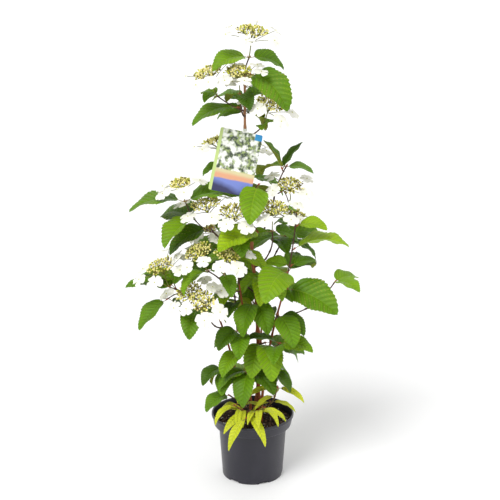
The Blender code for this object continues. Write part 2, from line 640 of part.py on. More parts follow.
def leaf_pairs(mass, index, shoot, twig):
    """Opposite leaves at the shoot's nodes: the tip's pair by turn, lower ones crossed or spread flat.

    Leaves that grow out sideways roll their faces towards the light, which comes from the front.
    """
    steep = shoot.rise > 1.2 * shoot.reach
    first = shoot.turn if shoot.turn is not None else shoot.azimuth + FLAT_SPREAD
    is_young = mass.startswith("young")
    width, sway = (YOUNG_HALF_WIDTH, YOUNG_SWAY) if is_young else (LEAF_HALF_WIDTH, LEAF_SWAY)
    for pair in range(shoot.pairs):
        node, _, _ = point_at(twig, 1 - pair * NODE_SPAN / shoot.pairs)
        rng = random.Random(f"{mass}-{index}-{pair}")
        flat = (shoot.azimuth + FLAT_SPREAD, shoot.azimuth - FLAT_SPREAD)
        crossed = (first + 90 * pair, first + 180 + 90 * pair)
        if pair == 0 and shoot.turn is None:
            azimuths = flat
        else:
            azimuths = crossed if steep or pair == 0 else flat
        for azimuth in azimuths:
            length = shoot.leaf * rng.uniform(0.92, 1.06) * (1 - 0.06 * pair)
            yield Leaf(
                node=node,
                azimuth=azimuth + rng.uniform(-sway, sway),
                pitch=shoot.pitch + rng.uniform(-8, 8),
                droop=shoot.droop * rng.uniform(0.85, 1.15),
                roll=LIGHT_ROLL * math.cos(math.radians(azimuth)) + rng.uniform(-LEAF_ROLL, LEAF_ROLL),
                petiole=length * PETIOLE_SHARE * rng.uniform(0.9, 1.3),
                length=length,
                half_width=length * width * rng.uniform(0.92, 1.08),
                fold=rng.uniform(8, 24),
            )


def grow_plant(solids_in_the_way):
    """Limbs by name, and for each mass its twigs, lacecaps and leaves."""
    limbs = {name: stem_twig(stem) for name, stem in STEMS.items()}
    for name, bough in BOUGHS.items():
        limbs[name] = bough_twig(bough, limbs[bough.host])
    thicket = Thicket()
    for solid in solids_in_the_way:
        thicket.add(solid)
    for limb in limbs.values():
        thicket.add(tube(limb.path, limb.radii + LIMB_ROOM, 6, limb.facing))
    masses = {}
    for name, (host, height, shoots) in MASSES.items():
        masses[name] = Foliage(shoot_twigs(limbs[host], height, shoots), [], [])
        for twig in masses[name].twigs:
            thicket.add(tube(twig.path, twig.radii + TWIG_ROOM, 4))
    for name, (_, _, shoots) in MASSES.items():
        for index, (shoot, twig) in enumerate(zip(shoots, masses[name].twigs)):
            if shoot.cap:
                cap = cap_on(twig, shoot.cap, f"{name}-{index}-cap")
                masses[name].caps.append(cap)
                for solid in cap_space(cap):
                    thicket.add(solid)
    for mass in masses.values():
        for cap in mass.caps:
            for choices in cap.places:
                for floret in choices:
                    if thicket.take(*floret_space(floret)):
                        cap.florets.append(floret)
                        break
    wished = []
    for name, (_, _, shoots) in MASSES.items():
        for index, (shoot, twig) in enumerate(zip(shoots, masses[name].twigs)):
            wished += [(name, leaf) for leaf in leaf_pairs(name, index, shoot, twig)]
    for name, first_wish in sorted(wished, key=lambda wish: -wish[1].length):
        for leaf in leaf_choices(first_wish):
            if thicket.take(leaf_solid(off_node(leaf), 2 * LEAF_CLEARANCE, LEAF_CLEARANCE)):
                masses[name].leaves.append(leaf)
                break
    return limbs, masses


def off_node(leaf):
    """The leaf with its petiole's foot moved out of the twig, so that its own twig isn't in its way."""
    share = 0.45
    step = direction(leaf.azimuth, leaf.pitch + PETIOLE_LIFT) * leaf.petiole * share
    return leaf._replace(node=leaf.node + step, petiole=leaf.petiole * (1 - share))


# Objects and materials

def clear_scene():
    for thing in list(bpy.data.objects):
        bpy.data.objects.remove(thing)


def linear(colour):
    """sRGB colour from 0 to 255, as the linear values that a shader takes."""
    parts = [value / 255 for value in colour]
    return [part / 12.92 if part <= 0.04045 else ((part + 0.055) / 1.055) ** 2.4 for part in parts]


def make_material(name, colour, roughness):
    material = bpy.data.materials.new(name)
    material.use_nodes = True
    shader = material.node_tree.nodes["Principled BSDF"]
    shader.inputs["Base Color"].default_value = (*linear(colour), 1)
    shader.inputs["Roughness"].default_value = roughness
    shader.inputs["Metallic"].default_value = 0.0
    return material


def make_object(name, solid, material=None, smooth_angle=None):
    points, faces = solid
    mesh = bpy.data.meshes.new(name)
    mesh.from_pydata(points.tolist(), [], faces.tolist())
    mesh.validate()
    thing = bpy.data.objects.new(name, mesh)
    bpy.context.scene.collection.objects.link(thing)
    if material:
        mesh.materials.append(material)
    if smooth_angle:
        mesh.shade_smooth()
        mesh.set_sharp_from_angle(angle=math.radians(smooth_angle))
    return thing


def evaluated_mesh(thing):
    bpy.context.view_layer.update()
    graph = bpy.context.evaluated_depsgraph_get()
    return bpy.data.meshes.new_from_object(thing.evaluated_get(graph))


def triangles_of(mesh):
    """The mesh as triangles, with flat neighbours merged first where that keeps it closed."""
    work = bmesh.new()
    for merge in (True, False):
        work.clear()
        work.from_mesh(mesh)
        if merge:
            bmesh.ops.dissolve_limit(work, angle_limit=FLAT_ANGLE, verts=work.verts, edges=work.edges)
        bmesh.ops.triangulate(work, faces=work.faces)
        if all(edge.is_manifold for edge in work.edges):
            break
    return work


def keep_one_body(mesh):
    """Keeps the largest closed shell, so loose scraps go and sealed hollows are filled."""
    work = triangles_of(mesh)
    unseen = set(work.verts)
    shells = []
    while unseen:
        reached, edge = set(), [unseen.pop()]
        while edge:
            vertex = edge.pop()
            reached.add(vertex)
            near = {link.other_vert(vertex) for link in vertex.link_edges} & unseen
            unseen -= near
            edge.extend(near)
        shells.append(reached)
    volumes = []
    for shell in shells:
        faces = {face for vertex in shell for face in vertex.link_faces}
        volumes.append(sum(f.verts[0].co.dot(f.verts[1].co.cross(f.verts[2].co)) for f in faces))
    largest = volumes.index(max(volumes))
    spare = [vertex for place, shell in enumerate(shells) if place != largest for vertex in shell]
    bmesh.ops.delete(work, geom=spare, context="VERTS")
    work.to_mesh(mesh)
    work.free()


def fuse(name, solids, material, solver="MANIFOLD"):
    """One body from overlapping closed solids: a Boolean union of the first with a collection of the rest."""
    body = make_object(name, solids[0])
    group = bpy.data.collections.new(name + "_pieces")
    bpy.context.scene.collection.children.link(group)
    for number, solid in enumerate(solids[1:]):
        piece = make_object(f"{name}_piece_{number}", solid)
        bpy.context.scene.collection.objects.unlink(piece)
        group.objects.link(piece)
    union = body.modifiers.new("union", "BOOLEAN")
    union.operation = "UNION"
    union.operand_type = "COLLECTION"
    union.collection = group
    union.solver = solver
    mesh = evaluated_mesh(body)
    keep_one_body(mesh)
    for piece in list(group.objects):
        bpy.data.objects.remove(piece)
    bpy.data.collections.remove(group)
    bpy.data.objects.remove(body)
    mesh.materials.clear()
    mesh.materials.append(material)
    thing = bpy.data.objects.new(name, mesh)
    bpy.context.scene.collection.objects.link(thing)
    return thing


# Pot and soil

def turned(profile, sides):
    """Closed solid turned about Z from (radius, height) points that start and end on the axis."""
    angles = np.arange(sides) * 2 * math.pi / sides
    rings = [
        np.stack([radius * np.cos(angles), radius * np.sin(angles), np.full(sides, height)], 1)
        for radius, height in profile[1:-1]
    ]
    ends = [(0, 0, profile[0][1]), (0, 0, profile[-1][1])]
    points = np.concatenate(rings + [ends])
    start, end = len(points) - 2, len(points) - 1
    faces = [(start, k, (k + 1) % sides) for k in range(sides)]
    for ring in range(len(rings) - 1):
        faces += ring_strip(ring * sides, (ring + 1) * sides, sides)
    last = (len(rings) - 1) * sides
    faces += [(last + k, end, last + (k + 1) % sides) for k in range(sides)]
    return outward(points, faces)


def pot_inside():
    """Inner profile from the lip down to the floor, as (radius, height) points."""
    collar_foot = POT_HEIGHT - COLLAR_HEIGHT
    return [
        (POT_RIM_RADIUS - 1.8 * POT_WALL, POT_HEIGHT),
        (POT_RIM_RADIUS - 2.3 * POT_WALL, POT_HEIGHT - 0.002),
        (COLLAR_FOOT_RADIUS - POT_WALL, collar_foot + POT_WALL),
        (POT_SHOULDER_RADIUS - POT_WALL, collar_foot + POT_WALL * 0.4),
        (POT_FOOT_RADIUS - POT_WALL, POT_FLOOR),
    ]


def build_pot():
    collar_foot = POT_HEIGHT - COLLAR_HEIGHT
    outside = [
        (0, 0),
        (POT_FOOT_RADIUS - 0.002, 0),
        (POT_FOOT_RADIUS, 0.002),
        (POT_SHOULDER_RADIUS, collar_foot - 0.0015),
        (COLLAR_FOOT_RADIUS, collar_foot),
        (POT_RIM_RADIUS - 0.0015, POT_HEIGHT - 0.006),
        (POT_RIM_RADIUS, POT_HEIGHT - 0.0035),
        (POT_RIM_RADIUS - 0.0006, POT_HEIGHT),
    ]
    profile = outside + pot_inside() + [(0, POT_FLOOR)]
    pot = make_object("pot", turned(profile, POT_SIDES), make_material("pot plastic", (62, 60, 66), 0.45), 35)
    depth = 0.014
    points, faces = [], []
    for k in range(DRAINS):
        out = direction(DRAIN_FIRST_AZIMUTH + k * 360 / DRAINS)
        across = np.array([-out[1], out[0], 0])
        for height in (-0.002, DRAIN_HEIGHT):
            for u, v in ((-1, -1), (1, -1), (1, 1), (-1, 1)):
                flat = out * (POT_FOOT_RADIUS + 0.001 + u * depth / 2) + across * v * DRAIN_WIDTH / 2
                points.append(flat + np.array([0, 0, height]))
        first = k * 8
        faces += ring_strip(first, first + 4, 4) + end_caps(first, first + 4, 4)
    cutter = make_object("drain_cutter", outward(points, faces))
    cut = pot.modifiers.new("drains", "BOOLEAN")
    cut.operation = "DIFFERENCE"
    cut.object = cutter
    cut.solver = "EXACT"
    mesh = evaluated_mesh(pot)
    pot.modifiers.clear()
    pot.data = mesh
    bpy.data.objects.remove(cutter)
    mesh.shade_smooth()
    mesh.set_sharp_from_angle(angle=math.radians(35))
    return pot


def soil_height(radius, angle):
    """Level round the stems, and low waves of crumbs towards the wall."""
    if radius < SOIL_LEVEL_RADIUS:
        return SOIL_TOP
    wave = math.sin(5 * angle + 1.0) + math.sin(9 * angle + 70 * radius) + math.cos(13 * angle - 90 * radius)
    return SOIL_TOP + SOIL_LUMP * wave / 3


def build_soil():
    shrink = math.cos(math.pi / POT_SIDES)
    inside = [(radius * shrink - GAP * 1.5, height) for radius, height in pot_inside()]
    shelf = inside[2]
    lip = inside[1]
    share = (SOIL_TOP - shelf[1]) / (lip[1] - shelf[1])
    wall_radius = shelf[0] + (lip[0] - shelf[0]) * share - 0.0006
    radii = [wall_radius, 0.076, 0.062, SOIL_LEVEL_RADIUS - 0.001]
    profile = [(0, POT_FLOOR + GAP * 1.5)]
    profile += [(inside[4][0], POT_FLOOR + GAP * 1.5), (inside[3][0], inside[3][1] + 0.0002)]
    profile += [(shelf[0] - 0.0004, shelf[1] + 0.0008)]
    profile += [(radius, SOIL_TOP) for radius in radii] + [(0, SOIL_TOP)]
    points, faces = turned(profile, SOIL_SIDES)
    angles = np.arctan2(points[:, 1], points[:, 0])
    reach = np.hypot(points[:, 0], points[:, 1])
    top = np.isclose(points[:, 2], SOIL_TOP)
    for index in np.flatnonzero(top):
        points[index, 2] = soil_height(reach[index], angles[index])
    return make_object("potting_soil", (points, faces), make_material("soil", (46, 36, 30), 0.95), 60)


# Tag

def tag_place():
    """The card's hanging point in front of the trunk, and its right, up and outward directions."""
    hang = np.array([-0.0150, -0.0125, TAG_HANG_HEIGHT])
    lean, tilt = math.radians(TAG_LEAN), math.radians(TAG_TILT)
    up = np.array([math.sin(lean), 0, math.cos(lean)])
    right = np.array([math.cos(lean), 0, -math.sin(lean)])
    out = np.array([0.0, -1.0, 0.0])
    up, out = up * math.cos(tilt) - out * math.sin(tilt), out * math.cos(tilt) + up * math.sin(tilt)
    return hang, right, up, out


def tag_card():
    """Flat card with round corners, its top edge just under the hanging point."""
    hang, right, up, out = tag_place()
    middle = hang - right * 0.008 - up * (TAG_HEIGHT / 2 + 0.002)
    outline = []
    for turn, across, along in ((0, 1, 1), (90, -1, 1), (180, -1, -1), (270, 1, -1)):
        corner = right * across * (TAG_WIDTH / 2 - TAG_CORNER) + up * along * (TAG_HEIGHT / 2 - TAG_CORNER)
        for step in (0, 45, 90):
            angle = math.radians(turn + step)
            outline.append(corner + (right * math.cos(angle) + up * math.sin(angle)) * TAG_CORNER)
    outline, half = middle + np.array(outline), out * TAG_THICKNESS / 2
    count = len(outline)
    points = np.concatenate([outline + half, outline - half])
    return outward(points, ring_strip(0, count, count) + end_caps(0, count, count))


def tag_strap(trunk):
    """Flat ring round the trunk with a tongue that runs forward and down into the card's top edge."""
    share = float(np.interp(TAG_HANG_HEIGHT, trunk.path[:, 2], np.linspace(0, 1, len(trunk.path))))
    centre, slope, radius = point_at(trunk, share)
    inner = radius + 0.0007
    outer = inner + STRAP_THICKNESS
    sides = 10
    angles = np.arange(sides) * 2 * math.pi / sides
    points = []
    for reach, height in ((inner, -0.5), (outer, -0.5), (outer, 0.5), (inner, 0.5)):
        flat = [np.cos(angles) * reach, np.sin(angles) * reach, np.full(sides, height * STRAP_WIDTH)]
        points.append(centre + np.stack(flat, 1))
    faces = []
    for ring in range(4):
        faces += ring_strip(ring * sides, (ring + 1) % 4 * sides, sides)
    ring = outward(np.concatenate(points), faces)
    hang, right, up, out = tag_place()
    start = centre + np.array([0, -1, 0]) * (inner + STRAP_THICKNESS * 0.5)
    end = hang - up * 0.008 + right * 0.001
    tongue = []
    for place in (start, end):
        for across, high in ((-1, -1), (1, -1), (1, 1), (-1, 1)):
            lift = np.array([0, 0, 1]) if place is start else out
            tongue.append(place + right * across * STRAP_WIDTH / 2 + lift * high * STRAP_THICKNESS * 0.6)
    return [ring, outward(tongue, ring_strip(0, 4, 4) + end_caps(0, 4, 4))]


# Assembly

def pot_space():
    """The pot and soil as one solid with a little room round it, which leaves hang clear of."""
    room = 0.0025
    profile = [
        (0, -room),
        (POT_FOOT_RADIUS + room, -room),
        (POT_SHOULDER_RADIUS + room, POT_HEIGHT - COLLAR_HEIGHT - 0.004),
        (COLLAR_FOOT_RADIUS + room, POT_HEIGHT - COLLAR_HEIGHT - 0.002),
        (POT_RIM_RADIUS + room, POT_HEIGHT),
        (POT_RIM_RADIUS - 0.002, POT_HEIGHT + room),
        (POT_RIM_RADIUS - 0.010, SOIL_TOP + 2 * room),
        (0, SOIL_TOP + 2 * room),
    ]
    return turned(profile, 32)


def main():
    clear_scene()
    build_pot()
    build_soil()
    trunk = stem_twig(STEMS["trunk"])
    tag_solids = [tag_card()] + tag_strap(trunk)
    fuse("plant_tag", tag_solids, make_material("tag card", (226, 232, 205), 0.4))
    limbs, masses = grow_plant([pot_space()] + tag_solids)
    bark = make_material("bark", (112, 66, 38), 0.8)
    young_bark = make_material("young bark", (66, 42, 32), 0.7)
    green = make_material("leaf green", (88, 138, 30), 0.5)
    lime = make_material("young leaf", (176, 190, 52), 0.5)
    for name, limb in limbs.items():
        sides = STEMS[name].sides if name in STEMS else BOUGH_SIDES
        solid = tube(limb.path, limb.radii, sides, limb.facing)
        make_object(name, solid, bark if name in STEMS else young_bark, 60)
    for name, mass in masses.items():
        solids = [tube(twig.path, twig.radii, 3, twig.facing) for twig in mass.twigs]
        solids += [leaf_solid(leaf, leaf.length * LEAF_THICKNESS) for leaf in mass.leaves]
        for cap in mass.caps:
            solids += cap_solids(cap)
        fuse(name, solids, lime if name.startswith("young") else green)


main()
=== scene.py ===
"""A young lacecap viburnum in a round nursery pot, with every surface finished.

Metres, +Z up, origin at the middle of the pot's flat underside, +X to the right of the plant's
front and -Y towards its front. Azimuths run 0 right, 90 back, 180 left, 270 front.
"""

import math
import random
from collections import namedtuple

import bpy
import numpy as np
from mathutils.bvhtree import BVHTree
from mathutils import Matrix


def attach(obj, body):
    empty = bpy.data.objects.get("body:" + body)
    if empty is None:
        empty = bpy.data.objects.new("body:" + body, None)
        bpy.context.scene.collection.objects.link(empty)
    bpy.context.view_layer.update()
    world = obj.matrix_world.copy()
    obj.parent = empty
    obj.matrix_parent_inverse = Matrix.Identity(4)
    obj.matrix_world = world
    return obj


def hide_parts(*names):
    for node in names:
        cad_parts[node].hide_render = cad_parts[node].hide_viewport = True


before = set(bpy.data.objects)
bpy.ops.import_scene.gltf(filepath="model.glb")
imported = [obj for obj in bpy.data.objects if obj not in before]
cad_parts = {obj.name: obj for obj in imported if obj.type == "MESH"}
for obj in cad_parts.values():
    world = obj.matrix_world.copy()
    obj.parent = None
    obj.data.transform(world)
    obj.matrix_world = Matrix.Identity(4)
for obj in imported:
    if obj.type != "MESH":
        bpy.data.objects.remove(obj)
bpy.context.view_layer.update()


# Studio
# A plain sheet of pale paper that runs far back, under an even white sky with a broad soft light
# from the upper left. The camera stands 2.4 m in front of the plant, above its top, looking down.

def add_light(name, height, azimuth, strength, spread):
    """A sun at a height and azimuth in degrees, as soft as a disc of spread degrees across."""
    lamp = bpy.data.lights.new(name, "SUN")
    lamp.energy, lamp.angle = strength, math.radians(spread)
    light = bpy.data.objects.new(name, lamp)
    light.rotation_euler = (math.radians(90 - height), 0, math.radians(azimuth + 90))
    bpy.context.scene.collection.objects.link(light)


CAMERA_PLACE = (-0.006, -2.4, 1.2221)
CAMERA_PITCH = 0.2771
FOCAL_PIXELS = 1124.7
PHOTO_PIXELS = 500
PAPER_REACH = 120
PAPER_WHITE = 0.84
SQUARE = ((-1, -1), (1, -1), (1, 1), (-1, 1))

camera = bpy.data.objects.new("camera", bpy.data.cameras.new("camera"))
camera.data.lens = FOCAL_PIXELS / PHOTO_PIXELS * camera.data.sensor_width
camera.location = CAMERA_PLACE
camera.rotation_euler = (math.pi / 2 - CAMERA_PITCH, 0, 0)
bpy.context.scene.collection.objects.link(camera)
bpy.context.scene.camera = camera
bpy.context.scene.view_settings.view_transform = "Standard"

add_light("key", 50, 236, 2.3, 30)
add_light("side", 28, 340, 0.55, 60)
add_light("back", 40, 80, 0.7, 60)

# The sky is white where it meets the paper and a softer grey overhead
world = bpy.data.worlds.new("studio")
world.use_nodes = True
sky = world.node_tree
sky_place = sky.nodes.new("ShaderNodeTexCoord")
sky_height = sky.nodes.new("ShaderNodeSeparateXYZ")
sky_strength = sky.nodes.new("ShaderNodeMapRange")
for socket, value in (("From Min", 0.10), ("From Max", 0.50), ("To Min", 0.98), ("To Max", 0.56)):
    sky_strength.inputs[socket].default_value = value
sky.links.new(sky_place.outputs["Generated"], sky_height.inputs["Vector"])
sky.links.new(sky_height.outputs["Z"], sky_strength.inputs["Value"])
sky.links.new(sky_strength.outputs["Result"], sky.nodes["Background"].inputs["Strength"])
sky.nodes["Background"].inputs["Color"].default_value = (1.0, 1.0, 1.0, 1)
bpy.context.scene.world = world

paper_mesh = bpy.data.meshes.new("floor_paper")
paper_corners = [(x * PAPER_REACH, y * PAPER_REACH, 0) for x, y in SQUARE]
paper_mesh.from_pydata(paper_corners, [], [(0, 1, 2, 3)])
paper = bpy.data.objects.new("floor_paper", paper_mesh)
paper_finish = bpy.data.materials.new("floor paper")
paper_finish.use_nodes = True
paper_shader = paper_finish.node_tree.nodes["Principled BSDF"]
paper_shader.inputs["Base Color"].default_value = (PAPER_WHITE, PAPER_WHITE, PAPER_WHITE, 1)
paper_shader.inputs["Roughness"].default_value = 0.9
paper_mesh.materials.append(paper_finish)
bpy.context.scene.collection.objects.link(paper)


# Nursery pot
# A thin-walled round pot of black polypropylene, injection moulded, with a deep collar under a
# rolled lip, and a foot cut by six drainage slots. Handling and watering leave it a little dusty.

def linear(colour):
    """Linear RGBA of an sRGB colour from 0 to 255: straight near black, then a power of 2.4."""
    share = np.array(colour) / 255
    curve = np.where(share <= 0.04045, share / 12.92, ((share + 0.055) / 1.055) ** 2.4)
    return (*curve.tolist(), 1)


class Wire:
    """A value in a material's node tree. Sums and products of it add their Math nodes."""

    def __init__(self, finish, socket):
        self.finish, self.socket = finish, socket

    def math(self, operation, *others):
        return self.finish.node("Math", dict(enumerate((self, *others))), operation=operation)

    def __add__(self, other):
        return self.math("ADD", other)

    def __sub__(self, other):
        return self.math("SUBTRACT", other)

    def __rsub__(self, other):
        return self.finish.node("Math", {0: other, 1: self}, operation="SUBTRACT")

    def __mul__(self, other):
        return self.math("MULTIPLY", other)

    def __truediv__(self, other):
        return self.math("DIVIDE", other)

    def __abs__(self):
        return self.math("ABSOLUTE")

    __radd__, __rmul__ = __add__, __mul__

    def clipped(self):
        """The value kept between 0 and 1."""
        return self.finish.node("Clamp", {"Value": self})


class Finish:
    """A material on one Principled shader, whose constants are set on its own sockets."""

    def __init__(self, name, colour, **constants):
        self.material = bpy.data.materials.new(name)
        self.material.use_nodes = True
        self.tree = self.material.node_tree
        self.shader = self.tree.nodes["Principled BSDF"]
        self.shader.inputs["Base Color"].default_value = linear(colour)
        for socket, value in constants.items():
            self.shader.inputs[socket.replace("_", " ")].default_value = value

    def node(self, kind, sockets, out=0, **settings):
        """Adds a node of a kind, sets its settings and then its sockets' values or links."""
        node = self.tree.nodes.new("ShaderNode" + kind)
        for name, value in settings.items():
            setattr(node, name, value)
        for socket, value in sockets.items():
            if isinstance(value, Wire):
                self.tree.links.new(value.socket, node.inputs[socket])
            else:
                node.inputs[socket].default_value = value
        return Wire(self, node.outputs[out])

    def feed(self, socket, wire):
        self.tree.links.new(wire.socket, self.shader.inputs[socket])

    def place(self, stretch=(1, 1, 1)):
        """Object coordinates, stretched along the axes."""
        here = self.node("TexCoord", {}, out="Object")
        return self.node("Mapping", {"Vector": here, "Scale": stretch})

    def part(self, vector, axis):
        return self.node("SeparateXYZ", {"Vector": vector}, out=axis)

    def noise(self, scale, detail=3.0, place=None):
        sockets = {"Vector": place or self.place(), "Scale": scale, "Detail": detail}
        return self.node("TexNoise", sockets)

    def cells(self, scale, place=None):
        """Distance to the nearest of many scattered points, 0 at each point."""
        sockets = {"Vector": place or self.place(), "Scale": scale}
        return self.node("TexVoronoi", sockets, out="Distance")

    def mix(self, share, first, second):
        """Colour between two colours, each an sRGB colour or a wire."""
        ends = [each if isinstance(each, Wire) else linear(each) for each in (first, second)]
        return self.node("Mix", {0: share, 6: ends[0], 7: ends[1]}, out=2, data_type="RGBA")

    def paint(self, share, first, second):
        self.feed("Base Color", self.mix(share, first, second))

    def bump(self, height, strength, depth):
        """Feeds the shader's normal with a relief of a depth in metres."""
        sockets = {"Height": height, "Strength": strength, "Distance": depth}
        self.feed("Normal", self.node("Bump", sockets))


def grid_faces(rows, columns):
    """Quads between neighbouring rows of a grid of points whose columns run round in a ring."""
    row, column = np.meshgrid(np.arange(rows - 1), np.arange(columns), indexing="ij")
    after = (column + 1) % columns
    near, far = row * columns, (row + 1) * columns
    return np.stack([near + column, near + after, far + after, far + column], -1).reshape(-1, 4)


def add_piece(name, shapes, finishes, nodes, sharp=None):
    """One object at the origin from shapes: (points, [(faces, finish number), ...], uv)."""
    points, uvs, corners, sizes, indices = [], [], [], [], []
    start = 0
    for shape_points, groups, uv in shapes:
        shape_points = np.asarray(shape_points, float).reshape(-1, 3)
        for faces, index in groups:
            corners.append((faces + start).ravel())
            sizes.append(np.full(len(faces), faces.shape[1]))
            indices.append(np.full(len(faces), index))
        points.append(shape_points)
        uvs.append(np.zeros((len(shape_points), 2)) if uv is None else uv.reshape(-1, 2))
        start += len(shape_points)
    points, uvs = np.concatenate(points), np.concatenate(uvs)
    corners, sizes, indices = (
        np.concatenate(each).astype(np.int32) for each in (corners, sizes, indices)
    )
    mesh = bpy.data.meshes.new(name)
    mesh.vertices.add(len(points))
    mesh.vertices.foreach_set("co", points.ravel())
    mesh.loops.add(len(corners))
    mesh.loops.foreach_set("vertex_index", corners)
    mesh.polygons.add(len(sizes))
    mesh.polygons.foreach_set("loop_start", (np.cumsum(sizes) - sizes).astype(np.int32))
    mesh.update(calc_edges=True)
    mesh.uv_layers.new(name="surface").data.foreach_set("uv", uvs[corners].ravel())
    for finish in finishes:
        mesh.materials.append(finish.material)
    mesh.polygons.foreach_set("material_index", indices)
    mesh.shade_smooth()
    if sharp:
        mesh.set_sharp_from_angle(angle=math.radians(sharp))
    mesh.validate()
    piece = bpy.data.objects.new(name, mesh)
    bpy.context.scene.collection.objects.link(piece)
    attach(piece, "root")
    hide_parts(*nodes)


def even_turns(count):
    """Angles of so many equal steps round a circle."""
    return np.arange(count) * 2 * math.pi / count


POT_HEIGHT = 0.151
POT_RIM_RADIUS = 0.095
POT_FOOT_RADIUS = 0.070
POT_SHOULDER_RADIUS = 0.0782
COLLAR_HEIGHT = 0.027
COLLAR_FOOT_RADIUS = 0.0888
POT_WALL = 0.0020
POT_FLOOR = 0.0035
DRAINS = 6
DRAIN_WIDTH = 0.024
DRAIN_HEIGHT = 0.0055
DRAIN_FIRST_AZIMUTH = 292
DRAIN_EDGE = 0.0015
COLLAR_FOOT = POT_HEIGHT - COLLAR_HEIGHT
POT_SIDES = 288
PROFILE_STEP = 0.009
AXIS_RADIUS = 0.0002


def rounded(corners, radius, steps=4):
    """A (radius, height) profile with each inner corner as a quadratic curve of steps points."""
    corners = np.array(corners, float)
    t = np.linspace(0, 1, steps)[:, None]
    found = [corners[:1]]
    for before, corner, after in zip(corners[:-2], corners[1:-1], corners[2:]):
        run_in, run_out = np.linalg.norm(corner - before), np.linalg.norm(after - corner)
        reach = min(radius, 0.45 * run_in, 0.45 * run_out)
        start = corner + (before - corner) / run_in * reach
        end = corner + (after - corner) / run_out * reach
        found.append((1 - t) ** 2 * start + 2 * t * (1 - t) * corner + t**2 * end)
    return np.concatenate(found + [corners[-1:]])


def lathe(profile, count):
    """Surface turned about Z: (r cos a, r sin a, z) for each (r, z) and each of count angles a."""
    angles = even_turns(count)
    radius, height = profile[:, 0][:, None], profile[:, 1][:, None]
    grid = np.stack([radius * np.cos(angles), radius * np.sin(angles), height + 0 * angles], -1)
    return grid, angles


def finely(profile, step):
    """The same profile with points no further apart than step."""
    found = [profile[:1]]
    for start, end in zip(profile[:-1], profile[1:]):
        count = max(1, int(np.linalg.norm(end - start) / step))
        found.append(start + (end - start) * np.linspace(0, 1, count + 1)[1:, None])
    return np.concatenate(found)


pot_profile = rounded([
    (AXIS_RADIUS, 0), (POT_FOOT_RADIUS - 0.006, 0), (POT_FOOT_RADIUS, 0),
    (POT_SHOULDER_RADIUS, COLLAR_FOOT - 0.0015), (COLLAR_FOOT_RADIUS, COLLAR_FOOT),
    (POT_RIM_RADIUS - 0.0018, POT_HEIGHT - 0.0065), (POT_RIM_RADIUS, POT_HEIGHT - 0.0055),
    (POT_RIM_RADIUS, POT_HEIGHT), (POT_RIM_RADIUS - 1.8 * POT_WALL, POT_HEIGHT),
    (POT_RIM_RADIUS - 2.3 * POT_WALL, POT_HEIGHT - 0.004),
    (COLLAR_FOOT_RADIUS - POT_WALL, COLLAR_FOOT + POT_WALL),
    (POT_SHOULDER_RADIUS - POT_WALL, COLLAR_FOOT + POT_WALL * 0.4),
    (POT_FOOT_RADIUS - POT_WALL, POT_FLOOR), (AXIS_RADIUS, POT_FLOOR),
], 0.0016)
pot_grid, pot_angles = lathe(finely(pot_profile, PROFILE_STEP), POT_SIDES)
# Each slot lifts the foot's points towards its ceiling, over its width and out to the wall
slot_turn = math.radians(360 / DRAINS)
from_first = pot_angles - math.radians(DRAIN_FIRST_AZIMUTH)
from_slot = (from_first + slot_turn / 2) % slot_turn - slot_turn / 2
in_slot = (DRAIN_WIDTH / 2 - np.abs(from_slot) * POT_FOOT_RADIUS) / DRAIN_EDGE + 0.5
reaches_wall = np.hypot(pot_grid[..., 0], pot_grid[..., 1]) > POT_FOOT_RADIUS - 0.0062
below_slot = np.clip(DRAIN_HEIGHT - pot_grid[..., 2], 0, None) * 0.97
pot_grid[..., 2] += below_slot * np.clip(in_slot, 0, 1) * reaches_wall
# Shrinkage leaves the moulded wall very slightly out of round
pot_grid[..., :2] *= (1 - 0.0016 * (1 + np.sin(2 * pot_angles + 0.7)) / 2)[None, :, None]

pot_plastic = Finish("pot plastic", (64, 62, 68), Roughness=0.42, Specular_IOR_Level=0.5)
height_up = pot_plastic.part(pot_plastic.place(), "Z")
smears = ((pot_plastic.noise(22.0, 5.0, pot_plastic.place((1, 1, 0.4))) - 0.48) * 3).clipped()
near_floor = ((0.022 - height_up) * 30).clipped()
splashes = near_floor * ((pot_plastic.noise(150.0, 4.0) - 0.42) * 4).clipped()
dusty = (smears * 0.22 + splashes * 0.4).clipped()
pot_plastic.paint(dusty, (29, 28, 39), (70, 67, 77))
pot_plastic.feed("Roughness", dusty * 0.3 + 0.34)
draw_marks = pot_plastic.noise(12.0, 2.0, pot_plastic.place((1, 1, 0.05)))
pot_plastic.bump(pot_plastic.noise(1400.0, 2.0) + 0.6 * draw_marks, 0.22, 0.0006)

add_piece(
    "pot_shell", [(pot_grid, [(grid_faces(len(pot_grid), POT_SIDES), 0)], None)],
    [pot_plastic], ["pot"], sharp=50,
)


# Potting compost
# Damp peat and bark fines, tipped in and firmed by hand to a finger's width below the lip, with
# bark chips and white perlite showing at the top.

SOIL_TOP = 0.134
SOIL_LUMP = 0.0025
SOIL_LEVEL_RADIUS = 0.046
SOIL_RINGS = 46
SOIL_SIDES = 180
SOIL_AXIS_RADIUS = 0.0004


def waves(points, scale, seed, count=14):
    """Smooth noise: sines of the points along count seeded directions, summed and evened out."""
    rng = np.random.default_rng(seed)
    along = rng.normal(size=(count, 3)) * scale
    start = rng.uniform(0, 2 * math.pi, count)
    return np.sin(points @ along.T + start).sum(-1) / math.sqrt(count)


def soil_waves(radius, angle):
    """Low swells towards the wall, as three waves round the pot, and level round the stems."""
    wave = np.sin(5 * angle + 1.0) + np.sin(9 * angle + 70 * radius)
    wave = wave + np.cos(13 * angle - 90 * radius)
    share = np.clip((radius - SOIL_LEVEL_RADIUS) / 0.012, 0, 1)
    return SOIL_LUMP * wave / 3 * share


